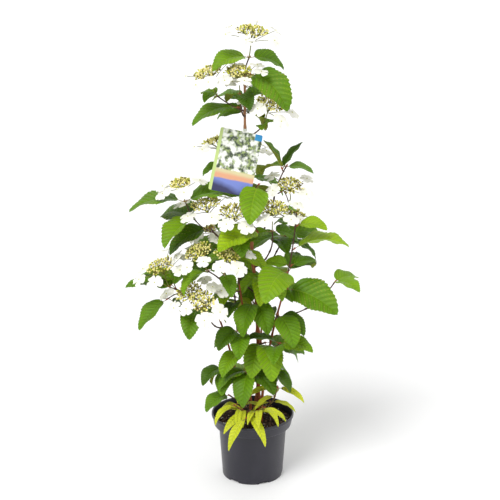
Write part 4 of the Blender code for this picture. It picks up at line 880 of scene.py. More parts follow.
# Each mass: the limb it meets, the height where it meets it, and its shoots. The first shoot is
# the leader, and the others say at what share of its length they leave it.
MASSES = {
    "foliage_crown_tip": ("trunk", TIP, (
        Shoot(0, 0.009, 0.037, leaf=0.080, turn=194, pitch=4, droop=64, cap=0.066),
        Shoot(322, 0.012, 0.001, share=0.08, leaf=0.114, turn=320, pitch=-16, droop=62),
    )),
    "foliage_upper_left": ("trunk", 0.850, (
        Shoot(184, 0.056, 0.032, leaf=0.050, cap=0.062),
        Shoot(225, 0.006, 0.004, share=0.10, leaf=0.100, turn=200, pitch=0, droop=62),
    )),
    "foliage_upper_front": ("trunk", 0.838, (
        Shoot(250, 0.026, 0.050, leaf=0.056, turn=306, pitch=-5, droop=60, cap=0.056),
    )),
    "foliage_upper_right": ("trunk", 0.792, (
        Shoot(338, 0.038, 0.028, leaf=0.042, droop=60, cap=0.060),
    )),
    "foliage_upper_back": ("trunk", 0.818, (
        Shoot(92, 0.044, 0.042, pairs=2, leaf=0.082, droop=75, cap=0.060),
    )),
    "foliage_tag_side": ("bough_tag_side", TIP, (
        Shoot(148, 0.014, 0.012, leaf=0.046, turn=190, pitch=-5, droop=60, cap=0.058),
    )),
    "foliage_front_hanging": ("trunk", 0.672, (
        Shoot(322, 0.026, 0.018, leaf=0.096, turn=258, pitch=-26, droop=54),
    )),
    "foliage_left_arm": ("bough_left_arm", TIP, (
        Shoot(190, 0.010, 0.014, leaf=0.094, turn=196, pitch=-12, droop=45, cap=0.066),
        Shoot(
            184, 0.062, 0.070, share=0.30, pairs=2, leaf=0.112, turn=192, pitch=8, droop=50,
            cap=0.046,
        ),
    )),
    "foliage_mid_left": ("stem_mid_left", TIP, (
        Shoot(200, 0.010, 0.112, pairs=2, leaf=0.078, turn=262, pitch=5, droop=80, cap=0.066),
    )),
    "foliage_mid_left_front": ("bough_mid_left", TIP, (
        Shoot(196, 0.032, 0.026, leaf=0.070, turn=214, pitch=-10, droop=70, cap=0.060),
        Shoot(304, 0.022, 0.014, share=0.30, leaf=0.064, turn=285, pitch=-15, droop=70, cap=0.056),
    )),
    "foliage_right_arm": ("bough_right_arm", TIP, (
        Shoot(4, 0.026, 0.070, leaf=0.062, turn=350, pitch=4, droop=54),
        Shoot(338, 0.012, 0.006, share=0.12, leaf=0.086, turn=334, pitch=6, droop=58),
        Shoot(34, 0.034, -0.034, share=0.30, pairs=0, cap=0.052),
        Shoot(196, 0.003, 0.004, share=0.86, leaf=0.068, turn=194, pitch=62, droop=18),
    )),
    "foliage_right_front": ("bough_right_front", TIP, (
        Shoot(330, 0.006, 0.046, leaf=0.070, turn=20, pitch=0, droop=60, cap=0.066),
    )),
    "foliage_centre_light": ("trunk", 0.596, (
        Shoot(292, 0.038, -0.004, leaf=0.112, turn=212, pitch=2, droop=36),
    )),
    "foliage_right_top": ("stem_right", TIP, (
        Shoot(12, 0.028, 0.178, leaf=0.040, turn=30, pitch=55, droop=40),
        Shoot(350, 0.003, 0.002, share=0.84, leaf=0.062, turn=340, pitch=20, droop=70),
        Shoot(355, 0.003, 0.002, share=0.56, leaf=0.118, turn=358, pitch=20, droop=56),
        Shoot(30, 0.003, 0.002, share=0.34, leaf=0.060, turn=28, pitch=25, droop=40),
        Shoot(262, 0.003, 0.002, share=0.26, leaf=0.118, turn=240, pitch=10, droop=62),
        Shoot(340, 0.004, 0.002, share=0.03, leaf=0.128, turn=342, pitch=-8, droop=40),
    )),
    "foliage_right_outer": ("bough_right_outer", TIP, (
        Shoot(358, 0.062, 0.062, leaf=0.076, pitch=16, droop=54),
    )),
    "foliage_right_low": ("stem_right", 0.318, (
        Shoot(322, 0.024, 0.016, pairs=2, leaf=0.076, turn=338, pitch=5, droop=55),
    )),
    "foliage_right_inner": ("stem_right", 0.392, (
        Shoot(276, 0.018, 0.012, pairs=2, leaf=0.080, turn=296, pitch=-8, droop=66),
    )),
    "foliage_left_high": ("bough_left_high", TIP, (
        Shoot(182, 0.034, 0.014, pairs=2, leaf=0.094, turn=188, pitch=28, droop=60, cap=0.064),
        Shoot(150, 0.014, 0.018, share=0.40, leaf=0.062, turn=168, pitch=20, droop=40),
        Shoot(198, 0.036, -0.010, share=0.08, leaf=0.086, turn=206, pitch=-38, droop=28),
    )),
    "foliage_left_low": ("bough_left_low", TIP, (
        Shoot(206, 0.022, 0.002, leaf=0.080, turn=252, pitch=0, droop=78, cap=0.058),
        Shoot(
            268, 0.018, -0.006, share=0.40, leaf=0.062, turn=206, pitch=-10, droop=60, cap=0.054,
        ),
    )),
    "foliage_left_inner": ("bough_left_inner", TIP, (
        Shoot(120, 0.008, 0.052, pairs=3, leaf=0.068, turn=250, pitch=8, droop=70),
    )),
    "foliage_mid_stem_left": ("stem_mid_left", 0.352, (
        Shoot(222, 0.020, 0.012, pairs=2, leaf=0.074, turn=232, pitch=0, droop=74),
    )),
    "foliage_centre_right": ("trunk", 0.474, (
        Shoot(322, 0.022, 0.010, pairs=2, leaf=0.080, turn=332, pitch=-5, droop=66),
    )),
    "foliage_right_base": ("stem_right", 0.256, (
        Shoot(300, 0.020, 0.012, pairs=2, leaf=0.062, turn=322, pitch=-5, droop=70),
    )),
    "foliage_mid_stem_low": ("stem_mid_left", 0.302, (
        Shoot(214, 0.018, 0.012, pairs=2, leaf=0.070, turn=236, pitch=-5, droop=72),
    )),
    "foliage_centre_low": ("trunk", 0.412, (
        Shoot(252, 0.018, 0.012, pairs=2, leaf=0.088, turn=256, pitch=-12, droop=80),
    )),
    "foliage_centre_lower": ("trunk", 0.318, (
        Shoot(304, 0.022, 0.010, pairs=2, leaf=0.102, turn=300, pitch=-5, droop=75),
    )),
    "foliage_low_left": ("stem_left", 0.262, (
        Shoot(205, 0.028, 0.010, pairs=2, leaf=0.062, turn=222, pitch=0, droop=70),
    )),
    "foliage_low_front": ("stem_mid_left", 0.256, (
        Shoot(255, 0.014, 0.014, pairs=2, leaf=0.086, turn=262, pitch=-5, droop=84),
    )),
    "foliage_pot_edge": ("stem_left", 0.190, (
        Shoot(212, 0.024, 0.014, leaf=0.064, turn=206, pitch=10, droop=75),
    )),
    "young_shoots_front": ("stem_mid_left", 0.166, (
        Shoot(262, 0.064, 0.010, pairs=3, leaf=0.084, turn=248, pitch=-14, droop=70),
        Shoot(208, 0.036, 0.020, share=0.20, pairs=3, leaf=0.062, turn=226, pitch=14, droop=88),
        Shoot(318, 0.042, 0.020, share=0.24, pairs=3, leaf=0.066, turn=304, pitch=12, droop=84),
    )),
    "young_shoots_right": ("stem_right", 0.172, (
        Shoot(336, 0.034, 0.052, pairs=3, leaf=0.068, turn=346, pitch=4, droop=62),
    )),
    "foliage_back_high": ("bough_back_high", TIP, (
        Shoot(98, 0.020, 0.040, pairs=2, leaf=0.092, turn=70, pitch=10, droop=75, cap=0.064),
    )),
    "foliage_back_left": ("bough_back_left", TIP, (
        Shoot(140, 0.030, 0.026, pairs=2, leaf=0.096, turn=150, pitch=5, droop=70, cap=0.062),
        Shoot(80, 0.026, 0.010, share=0.30, leaf=0.080, turn=70),
    )),
    "foliage_back_right": ("bough_back_right", TIP, (
        Shoot(44, 0.030, 0.030, pairs=2, leaf=0.094, turn=30, pitch=5, droop=70, cap=0.062),
        Shoot(110, 0.026, 0.010, share=0.30, leaf=0.080, turn=100),
    )),
    "foliage_back_middle": ("stem_back", TIP, (
        Shoot(80, 0.020, 0.060, pairs=2, leaf=0.092, turn=60, pitch=10, droop=75),
        Shoot(10, 0.024, 0.008, share=0.25, leaf=0.080, turn=5),
    )),
    "foliage_back_low": ("stem_back", 0.235, (
        Shoot(75, 0.022, 0.016, pairs=2, leaf=0.086, turn=80, pitch=0, droop=75),
    )),
    "foliage_back_low_left": ("trunk", 0.225, (
        Shoot(150, 0.026, 0.014, pairs=2, leaf=0.080, turn=145, pitch=0, droop=75),
    )),
}


def shoot_twigs(host, height, shoots):
    """The leader from its host, then each side shoot from the leader."""
    twigs = []
    for shoot in shoots:
        out = direction(shoot.azimuth)
        if twigs:
            root, slope, _ = point_at(twigs[0], shoot.share)
            heading = unit(slope * 0.4 + out)
            facing, radius = heading, SHOOT_RADIUS
        elif height is TIP:
            slope = tangents(host.path)[-1]
            root, facing, heading = host.path[-1] + slope * GAP, slope, slope
            radius = LEADER_RADIUS
        else:
            root, facing = side_root(host, height, shoot.azimuth, GAP)
            heading = unit(facing + np.array([0, 0, SIDE_LIFT]))
            radius = LEADER_RADIUS
        end = root + out * shoot.reach + np.array([0, 0, shoot.rise])
        count = 3 if np.linalg.norm(end - root) < SHORT_SHOOT else 4
        radii = np.linspace(1, TWIG_TAPER, count) * radius
        twigs.append(Twig(arc(root, heading, end, count), radii, facing, (root, heading, end)))
    return twigs


def leaf_frame(leaf, shares):
    """Midrib points, side and normal vectors of a leaf at shares of its length.

    The midrib leaves the petiole at the leaf's pitch, which falls by droop s^1.2 on the way to the
    tip, so its points are the running sum of cos(pitch) outwards and sin(pitch) upwards.
    """
    fine = np.linspace(0, 1, 33)
    pitch = np.radians(leaf.pitch - leaf.droop * fine**1.2)
    out, up = direction(leaf.azimuth), np.array([0.0, 0.0, 1.0])
    share, rest = np.cos(pitch)[:, None], np.sin(pitch)[:, None]
    slope = share * out + rest * up
    steps = (slope[1:] + slope[:-1]) / 2 * leaf.length / 32
    base = leaf.node + direction(leaf.azimuth, leaf.pitch + PETIOLE_LIFT) * leaf.petiole
    points = base + np.concatenate([np.zeros((1, 3)), np.cumsum(steps, axis=0)])
    normal = -rest * out + share * up
    side = np.broadcast_to(direction(leaf.azimuth + 90), normal.shape)
    roll = math.radians(leaf.roll)
    rolled_side = side * math.cos(roll) + normal * math.sin(roll)
    rolled_normal = normal * math.cos(roll) - side * math.sin(roll)
    return [
        np.stack([np.interp(shares, fine, each[:, axis]) for axis in range(3)], 1)
        for each in (points, rolled_side, rolled_normal)
    ]


def half_width(leaf, shares):
    """Half the blade's width: an ovate outline, 2.49 s^0.5 (1 - s)^0.9 of its greatest half."""
    return leaf.half_width * 2.49 * shares**0.5 * (1 - shares) ** 0.9


def leaf_space(leaf):
    """Closed blade on its petiole, thick by the clearance all round, for finding clear space."""
    stations = np.array(LEAF_STATIONS if leaf.length > SMALL_LEAF else SMALL_LEAF_STATIONS)
    mid, side, normal = leaf_frame(leaf, stations)
    reach = (half_width(leaf, stations) + LEAF_CLEARANCE)[:, None]
    fold = math.radians(leaf.fold)
    edge = normal * reach * math.sin(fold)
    left = mid - side * reach * math.cos(fold) + edge
    right = mid + side * reach * math.cos(fold) + edge
    half = normal * LEAF_CLEARANCE
    sections = np.stack([left, mid + half, right, mid - half], 1)
    tip = leaf_frame(leaf, np.array([1.0]))[0]
    (base,), (base_side,), (base_normal,) = leaf_frame(leaf, np.array([0.0]))
    corners = []
    for place in (leaf.node, base):
        for turn in (150, 30, 270):
            sway = math.radians(turn)
            spoke = base_side * math.cos(sway) + base_normal * math.sin(sway)
            corners.append(place + spoke * PETIOLE_RADIUS)
    points = np.concatenate([corners, sections.reshape(-1, 3), tip])
    faces = [(0, 1, 2)] + ring_strip(0, 3, 3)
    faces += [(3, 6, 7), (3, 7, 4), (4, 7, 8), (4, 8, 9), (4, 9, 5), (5, 9, 6), (5, 6, 3)]
    for station in range(len(stations) - 1):
        faces += ring_strip(6 + 4 * station, 10 + 4 * station, 4)
    last = 6 + 4 * (len(stations) - 1)
    faces += [(last + k, len(points) - 1, last + (k + 1) % 4) for k in range(4)]
    return outward(points, faces)


def tube_space(path, radii, sides, facing=None):
    """Closed tapering tube along a path, whose first ring lies square to facing."""
    slopes = tangents(path)
    if facing is not None:
        slopes[0] = facing
    points = path[:, None] + carried_rings(slopes, sides) * np.asarray(radii)[:, None, None]
    faces = []
    for ring in range(len(path) - 1):
        faces += ring_strip(ring * sides, (ring + 1) * sides, sides)
    faces += end_caps(0, (len(path) - 1) * sides, sides)
    return outward(points.reshape(-1, 3), faces)


def frame_across(axis, turn):
    """Two unit vectors square to an axis, turned about it by so many degrees."""
    helper = np.array([0.0, 1.0, 0.0]) if abs(axis[1]) < 0.9 else np.array([1.0, 0.0, 0.0])
    first = unit(np.cross(helper, axis))
    second = np.cross(axis, first)
    share, rest = math.cos(math.radians(turn)), math.sin(math.radians(turn))
    return first * share + second * rest, second * share - first * rest


def cap_on(twig, across, seed):
    """The lacecap at a shoot's tip, its stalk bent up and forwards, and its florets' places."""
    rng = random.Random(seed)
    slope = tangents(twig.path)[-1]
    upright = np.array([rng.uniform(-0.12, 0.12), rng.uniform(-0.48, -0.14), 1.0])
    axis = unit(slope * 0.45 + upright)
    tip = twig.path[-1]
    hub = tip + axis * CAP_STALK * (0.6 + 0.4 * across / USUAL_CAP)
    disc_middle = hub + axis * RAY_RISE * across * 1.04
    stalk = np.concatenate([arc(tip - slope * 0.001, unit(slope + axis), hub, 3), [disc_middle]])
    first_turn = rng.uniform(0, 45)
    places = []
    for k in range(FLORETS):
        turn = first_turn + k * 360 / FLORETS + rng.uniform(-10, 10)
        spread, lift = rng.uniform(0.76, 0.92), rng.uniform(0.24, 0.42)
        tilt = rng.uniform(0.20, 0.60)
        size, spin = FLORET_SIZE * rng.uniform(0.86, 1.08), rng.uniform(0, 72)
        root = hub + axis * across * 0.18 * (k * 5 % FLORETS) / FLORETS
        choices = []
        for shift, further in FLORET_SHIFTS:
            out, _ = frame_across(axis, turn + shift)
            centre = hub + (out * (spread + further) + axis * lift) * across
            choices.append(Floret(centre, unit(axis + out * tilt), size, spin, root))
        places.append(choices)
    return Cap(hub, axis, across, stalk, places, [])


def ring_round(first, second, angles, reach):
    """Ring of points at these angles a: reach times (cos a first + sin a second)."""
    return first * (np.cos(angles) * reach)[:, None] + second * (np.sin(angles) * reach)[:, None]


def double_cone(ring, low, high):
    """Closed solid from a ring of points to a point below it and a point above it."""
    count = len(ring)
    faces = [(k, (k + 1) % count, count) for k in range(count)]
    faces += [((k + 1) % count, k, count + 1) for k in range(count)]
    return outward(np.concatenate([ring, [high, low]]), faces)


def floret_space(floret):
    """The flower made thicker, and the outer part of its stalk, for finding clear space."""
    first, second = frame_across(floret.normal, floret.turn)
    angles = np.radians(np.arange(10) * 36)
    reach = np.where(np.arange(10) % 2 == 0, 0.5, 0.30) * floret.size + FLORET_ROOM
    sink = np.where(np.arange(10) % 2 == 0, 0.06, 0.0) * floret.size
    ring = ring_round(first, second, angles, reach)
    outline = floret.centre + ring - floret.normal * sink[:, None]
    room = floret.normal * FLORET_ROOM * 2
    flower = double_cone(outline, floret.centre - room, floret.centre + room)
    beyond_disc = floret.root + (floret.centre - floret.root) * 0.3
    line = np.array([beyond_disc, floret.centre])
    return flower, tube_space(line, np.full(2, STALK_RADIUS + TWIG_ROOM), 3)


def cap_space(cap):
    """Closed cone over a lacecap's disc and its florets' inner stalks, and its own stalk."""
    ring = ring_round(*frame_across(cap.axis, 0), even_turns(DISC_SIDES), 0.54 * cap.across)
    ring = cap.hub + ring + cap.axis * RAY_RISE * cap.across
    cone = double_cone(ring, cap.hub, cap.hub + cap.axis * RAY_RISE * cap.across * 1.4)
    return cone, tube_space(cap.stalk[:3], np.full(3, CAP_STALK_RADIUS + TWIG_ROOM), 3)


def pot_space():
    """The pot and compost as one solid with a little room round it, which leaves hang clear of."""
    room, count = 0.0025, 32
    profile = [
        (POT_FOOT_RADIUS + room, -room),
        (POT_SHOULDER_RADIUS + room, COLLAR_FOOT - 0.004),
        (COLLAR_FOOT_RADIUS + room, COLLAR_FOOT - 0.002),
        (POT_RIM_RADIUS + room, POT_HEIGHT),
        (POT_RIM_RADIUS - 0.002, POT_HEIGHT + room),
        (POT_RIM_RADIUS - 0.010, SOIL_TOP + 2 * room),
    ]
    rings = lathe(np.array(profile), count)[0].reshape(-1, 3)
    points = np.concatenate([rings, [(0, 0, -room), (0, 0, SOIL_TOP + 2 * room)]])
    start, end, last = len(points) - 2, len(points) - 1, len(rings) - count
    faces = [(start, k, (k + 1) % count) for k in range(count)]
    for ring in range(len(profile) - 1):
        faces += ring_strip(ring * count, (ring + 1) * count, count)
    faces += [(last + k, end, last + (k + 1) % count) for k in range(count)]
    return outward(points, faces)


def triangle_tree(points, faces):
    return BVHTree.FromPolygons(points.tolist(), faces.tolist(), all_triangles=True)


class Thicket:
    """What has grown so far, as meshes with their boxes, so that new leaves keep clear of it."""

    def __init__(self):
        self.grown = []

    def add(self, solid):
        points, faces = solid
        self.grown.append((points.min(0), points.max(0), triangle_tree(points, faces)))

    def take(self, *solids):
        """Adds these solids if nothing is in their way, and says whether it did."""
        if not all(self.clear(solid) for solid in solids):
            return False
        for solid in solids:
            self.add(solid)
        return True

    def clear(self, solid):
        points, faces = solid
        low, high = points.min(0), points.max(0)
        tree = None
        for other_low, other_high, other in self.grown:
            if (low > other_high).any() or (high < other_low).any():
                continue
            tree = tree or triangle_tree(points, faces)
            if tree.overlap(other):
                return False
        return True


def leaf_choices(leaf):
    """The leaf as it would grow, then turned, lifted or made smaller, in the order tried."""
    turns = (
        (0, 0), (16, 0), (-16, 0), (0, -18), (0, 16), (32, -8), (-32, -8), (30, 20), (-30, 20),
    )
    for scale in (1.0, 0.82):
        for turn, lift in turns:
            yield leaf._replace(
                azimuth=leaf.azimuth + turn,
                pitch=leaf.pitch + lift,
                length=leaf.length * scale,
                half_width=leaf.half_width * scale,
            )


def leaf_pairs(mass, index, shoot, twig):
    """Opposite leaves at the shoot's nodes, the tip's pair by turn, the rest crossed or flat.

    Leaves that grow out sideways roll their faces towards the light, which comes from the front.
    """
    steep = shoot.rise > 1.2 * shoot.reach
    first = shoot.turn if shoot.turn is not None else shoot.azimuth + FLAT_SPREAD
    is_young = mass.startswith("young")
    width, sway = (YOUNG_HALF_WIDTH, YOUNG_SWAY) if is_young else (LEAF_HALF_WIDTH, LEAF_SWAY)
    for pair in range(shoot.pairs):
        node, _, _ = point_at(twig, 1 - pair * NODE_SPAN / shoot.pairs)
        rng = random.Random(f"{mass}-{index}-{pair}")
        flat = (shoot.azimuth + FLAT_SPREAD, shoot.azimuth - FLAT_SPREAD)
        crossed = (first + 90 * pair, first + 180 + 90 * pair)
        if pair == 0 and shoot.turn is None:
            azimuths = flat
        else:
            azimuths = crossed if steep or pair == 0 else flat
        for azimuth in azimuths:
            length = shoot.leaf * rng.uniform(0.92, 1.06) * (1 - 0.06 * pair)
            to_light = LIGHT_ROLL * math.cos(math.radians(azimuth))
            yield Leaf(
                node=node,
                azimuth=azimuth + rng.uniform(-sway, sway),
                pitch=shoot.pitch + rng.uniform(-8, 8),
                droop=shoot.droop * rng.uniform(0.85, 1.15),
                roll=to_light + rng.uniform(-LEAF_ROLL, LEAF_ROLL),
                petiole=length * PETIOLE_SHARE * rng.uniform(0.9, 1.3),
                length=length,
                half_width=length * width * rng.uniform(0.92, 1.08),
                fold=rng.uniform(8, 24),
            )


def off_node(leaf):
    """The leaf with its petiole's foot moved out of its twig, so that this isn't in its way."""
    share = 0.45
    step = direction(leaf.azimuth, leaf.pitch + PETIOLE_LIFT) * leaf.petiole * share
    return leaf._replace(node=leaf.node + step, petiole=leaf.petiole * (1 - share))


# Limbs and twigs come first, then the flower heads, then the leaves that find room, longest first
thicket = Thicket()
for solid in [pot_space(), tag_card()] + strap_solids:
    thicket.add(solid)
for limb in limbs.values():
    thicket.add(tube_space(limb.path, limb.radii + LIMB_ROOM, 6, limb.facing))
masses = {}
for name, (host, height, shoots) in MASSES.items():
    masses[name] = Foliage(shoot_twigs(limbs[host], height, shoots), [], [])
    for twig in masses[name].twigs:
        thicket.add(tube_space(twig.path, twig.radii + TWIG_ROOM, 4))
for name, (_, _, shoots) in MASSES.items():
    for index, (shoot, twig) in enumerate(zip(shoots, masses[name].twigs)):
        if shoot.cap:
            cap = cap_on(twig, shoot.cap, f"{name}-{index}-cap")
            masses[name].caps.append(cap)
            for solid in cap_space(cap):
                thicket.add(solid)
for mass in masses.values():
    for cap in mass.caps:
        for choices in cap.places:
            for floret in choices:
                if thicket.take(*floret_space(floret)):
                    cap.florets.append(floret)
                    break
wished = []
for name, (_, _, shoots) in MASSES.items():
    for index, (shoot, twig) in enumerate(zip(shoots, masses[name].twigs)):
        wished += [(name, leaf) for leaf in leaf_pairs(name, index, shoot, twig)]
for name, first_wish in sorted(wished, key=lambda wish: -wish[1].length):
    for leaf in leaf_choices(first_wish):
        if thicket.take(leaf_space(off_node(leaf))):
            masses[name].leaves.append(leaf)
            break

green_twig = Finish("green twig", (98, 84, 40), Roughness=0.5, Specular_IOR_Level=0.4)
green_twig.paint(green_twig.noise(180.0), (88, 96, 34), (120, 70, 44))
green_twig.bump(green_twig.noise(900.0), 0.3, 0.0003)
red_twig = Finish("red twig", (150, 70, 34), Roughness=0.5)

twig_shapes, young_twig_shapes, bud_shapes = [], [], []
for name, (_, _, shoots) in MASSES.items():
    for shoot, twig in zip(shoots, masses[name].twigs):
        root, heading, end = twig.bend
        count = 10 if len(twig.path) == 3 else 30
        path = np.concatenate([[root - twig.facing * 0.0012], arc(root, heading, end, count - 1)])
        shares = np.linspace(0, 1, count)
        pairs = max(shoot.pairs, 1)
        nodes = [1 - pair * NODE_SPAN / pairs for pair in range(pairs)]
        reach = max(0.004 / np.linalg.norm(end - root), 0.02)
        swelling = 1 + 0.38 * knots(shares, nodes, reach) + 0.3 * np.exp(-shares / 0.06)
        radii = twig.radii[0] * (1 - (1 - TWIG_TAPER) * shares) * swelling
        shape = bark_tube(path, radii, 10, 0.04)
        (young_twig_shapes if name.startswith("young") else twig_shapes).append(shape)
        if not shoot.cap:
            # A pointed bud closes a shoot that has no flower head
            slope = tangents(twig.path)[-1]
            t = np.linspace(0, 1, 9)
            bud = end + slope * (t[:, None] * 0.009 - 0.001)
            radii = 0.0017 * np.sin(math.pi * (0.12 + 0.86 * t)) ** 0.8
            bud_shapes.append(bark_tube(bud, radii, 8))

grown_nodes = [name for name in MASSES if not name.startswith("young")]
young_nodes = [name for name in MASSES if name.startswith("young")]


# Leaves
# Thin, limp, ovate blades with a toothed edge, pleated along side veins that run out to the teeth.
# The upper face is a soft green; the lower one is paler and duller, and its veins stand out.

VEINS = 9
VEIN_FORWARD = 0.8
BLADE_ROWS = 48
BLADE_COLUMNS = np.array([1.0, 0.90, 0.76, 0.58, 0.40, 0.22, 0.07, 0.0])
BLADE_THICKNESS = 0.0003
MIDRIB = 0.0011
LEAF_PLEAT = 0.014
YOUNG_PLEAT = 0.008


def pole_fans(count, last, start, end):
    """Triangles from the first ring to the pole at start and from the last ring to the other."""
    column = np.arange(count)
    after = (column + 1) % count
    return np.concatenate([
        np.stack([start + 0 * column, after, column], 1),
        np.stack([last + column, last + after, end + 0 * column], 1),
    ])


def closed_rings(rings, top_columns, first_pole, last_pole):
    """Shell of rings drawn to a point at each end: points, faces on top and faces underneath."""
    rows, count = rings.shape[:2]
    quads = grid_faces(rows, count)
    fans = pole_fans(count, (rows - 1) * count, rows * count, rows * count + 1)
    is_top = np.arange(count) < top_columns - 1
    quad_top, fan_top = np.tile(is_top, rows - 1), np.tile(is_top, 2)
    points = np.concatenate([rings.reshape(-1, 3), [first_pole, last_pole]])
    return points, (quads[quad_top], fans[fan_top]), (quads[~quad_top], fans[~fan_top])


def blade(leaf, pleat):
    """One closed, pleated and toothed leaf blade as points, faces above, faces below and UV.

    A point a share s along and a distance d out from the midrib rises by a pleat of
    |sin(pi n (s - 0.8 d / L))| between its n side veins. Every third row is drawn out to a tooth,
    and the blade twists by up to 16 degrees at its tip.
    """
    rng = random.Random(leaf.azimuth)
    row = np.arange(1, BLADE_ROWS + 1)
    shares = (row / (BLADE_ROWS + 1)) ** 1.2
    mid, flat_side, flat_normal = leaf_frame(leaf, shares)
    twist = math.radians(rng.uniform(-16, 16)) * shares[:, None] ** 2
    side = flat_side * np.cos(twist) + flat_normal * np.sin(twist)
    normal = flat_normal * np.cos(twist) - flat_side * np.sin(twist)
    cross = np.concatenate([BLADE_COLUMNS, -BLADE_COLUMNS[-2::-1]])
    across = np.concatenate([cross, cross[-2:0:-1]])
    is_top = np.arange(len(across)) < len(cross)
    ramp = np.clip(row / 6, 0, 1) * (row % 3) / 2
    reach = half_width(leaf, shares)
    tooth = 1 + 0.075 * ramp[:, None] * np.abs(across) ** 4
    away = np.abs(across) * reach[:, None] * tooth
    forward = 0.014 * leaf.length * ramp[:, None] * np.abs(across) ** 6
    phase = VEINS * (shares[:, None] - VEIN_FORWARD * away / leaf.length)
    inner = np.clip(4 * np.abs(across), 0, 1) * (1 - 0.45 * np.abs(across) ** 3)
    fade = np.clip(reach / (0.22 * leaf.length), 0, 1)[:, None]
    quilt = pleat * leaf.length * (np.abs(np.sin(math.pi * phase)) - 0.5) * inner * fade
    sway = math.pi * (rng.uniform(1.6, 2.8) * shares[:, None] + rng.uniform(0, 2))
    sway = sway + (across < 0) * rng.uniform(0.5, 2.5)
    ruffle = 0.024 * leaf.length * np.abs(across) ** 3 * np.sin(2 * sway) * fade
    fold = math.radians(leaf.fold)
    arch = away * math.sin(fold) * (1.5 - rng.uniform(0.4, 1.1) * np.abs(across))
    body = BLADE_THICKNESS / 2 * (1 - np.abs(across) ** 6)
    rib = MIDRIB * (1 - shares[:, None]) ** 0.7 * (across == 0)
    height = arch + quilt + ruffle + np.where(is_top, body - 0.3 * rib, -body - rib)
    along = unit(np.gradient(mid, axis=0).sum(0))
    rings = (
        mid[:, None]
        + side[:, None] * (np.sign(across) * away * math.cos(fold))[..., None]
        + normal[:, None] * height[..., None]
        + along * forward[..., None]
    )
    base, tip = (leaf_frame(leaf, np.array([share]))[0][0] for share in (0.0, 1.0))
    points, top, below = closed_rings(rings, len(cross), base, tip)
    spread = np.stack([0.5 + np.sign(across) * away / leaf.length, shares[:, None] + 0 * away], -1)
    uv = np.concatenate([spread.reshape(-1, 2), [(0.5, 0.0), (0.5, 1.0)]])
    return points, top, below, uv


def leaf_finish(name, shade, light, vein, below=False):
    """A leaf's face: two drifting greens, painted shade in the pleats, veins at its own pleats."""
    finish = Finish(name, light, Roughness=0.5, Specular_IOR_Level=0.16 if below else 0.22)
    spot = finish.node("UVMap", {})
    along, away = finish.part(spot, "Y"), abs(finish.part(spot, "X") - 0.5)
    phase = (along - away * VEIN_FORWARD) * VEINS
    from_vein = 0.5 - abs(phase.math("FRACT") - 0.5)
    side_vein = (1 - from_vein / 0.085).clipped()
    midrib = ((0.013 - along * 0.009 - away) / 0.005).clipped()
    veins = side_vein.math("MAXIMUM", midrib)
    web = finish.cells(620.0)
    drift = ((finish.noise(17.0, 3.0) - 0.36) * 3.4).clipped()
    # Painted shade: the green is darker in the pleats' furrows by the veins and lighter on the
    # raised quilting between them
    pleat_light_and_height = (from_vein * 2.4).clipped()
    green = finish.mix((drift * 0.55 + pleat_light_and_height * 0.5).clipped(), shade, light)
    finish.paint(veins * (0.75 if below else 0.6), green, vein)
    finish.feed("Roughness", drift * 0.12 + (0.62 if below else 0.42))
    relief = veins * (1.0 if below else -1.0) + web * 0.5 + pleat_light_and_height * (-0.6 if below else 0.6)
    finish.bump(relief, 0.7, 0.0008)
    return finish


LEAF_FINISHES = [
    leaf_finish("leaf bright", (104, 144, 2), (148, 178, 12), (178, 200, 62)),
    leaf_finish("leaf fresh", (82, 124, 2), (120, 158, 8), (152, 178, 46)),
    leaf_finish("leaf full", (62, 100, 1), (96, 138, 5), (126, 156, 34)),
    leaf_finish("leaf deep", (44, 76, 1), (74, 110, 4), (102, 130, 28)),
    leaf_finish("leaf underside", (102, 116, 26), (134, 146, 46), (168, 176, 84), below=True),
]
UNDERSIDE = len(LEAF_FINISHES) - 1


def leaf_shape(leaf, pleat, above, below):
    """A blade's shape with the numbers of the finishes on its upper face and its underside."""
    points, top, bottom, uv = blade(leaf, pleat)
    return points, [(faces, above) for faces in top] + [(faces, below) for faces in bottom], uv


TINT_DEAL = 12561
SPRAY_TINTS = {
    "foliage_crown_tip": 2, "foliage_upper_left": 2, "foliage_upper_front": 2,
    "foliage_tag_side": 3, "foliage_centre_light": 0, "foliage_front_hanging": 1,
    "foliage_left_arm": 2, "foliage_left_high": 2, "foliage_right_arm": 2,
}


def tint_of(name, leaf):
    """A spray's tint, a step lighter or deeper for some, deeper low and behind as painted shade.
    """
    rng = random.Random(f"{name}-{leaf.azimuth:.4f}-{TINT_DEAL}")
    # Leaves low down or behind the plant take a deeper green as painted shade
    tint = SPRAY_TINTS.get(name, 2 if leaf.node[2] < 0.42 or leaf.node[1] > 0.03 else 1)
    return int(np.clip(tint + rng.choice((-1, 0, 0, 1)), 0, UNDERSIDE - 1))


grown = [(name, leaf) for name in grown_nodes for leaf in masses[name].leaves]
for number in range(3):
    shapes = [
        leaf_shape(leaf, LEAF_PLEAT, tint_of(name, leaf), UNDERSIDE)
        for name, leaf in grown[number::3]
    ]
    add_piece(f"leaves_{number + 1}", shapes, LEAF_FINISHES, grown_nodes, sharp=75)

young_finishes = [
    leaf_finish("young leaf", (162, 176, 14), (202, 206, 46), (218, 220, 96)),
    leaf_finish("young underside", (170, 180, 50), (196, 200, 78), (212, 212, 116), below=True),
]
young = [(name, leaf) for name in young_nodes for leaf in masses[name].leaves]
young_shapes = [leaf_shape(leaf, YOUNG_PLEAT, 0, 1) for _, leaf in young]
add_piece("leaves_young", young_shapes, young_finishes, young_nodes, sharp=75)

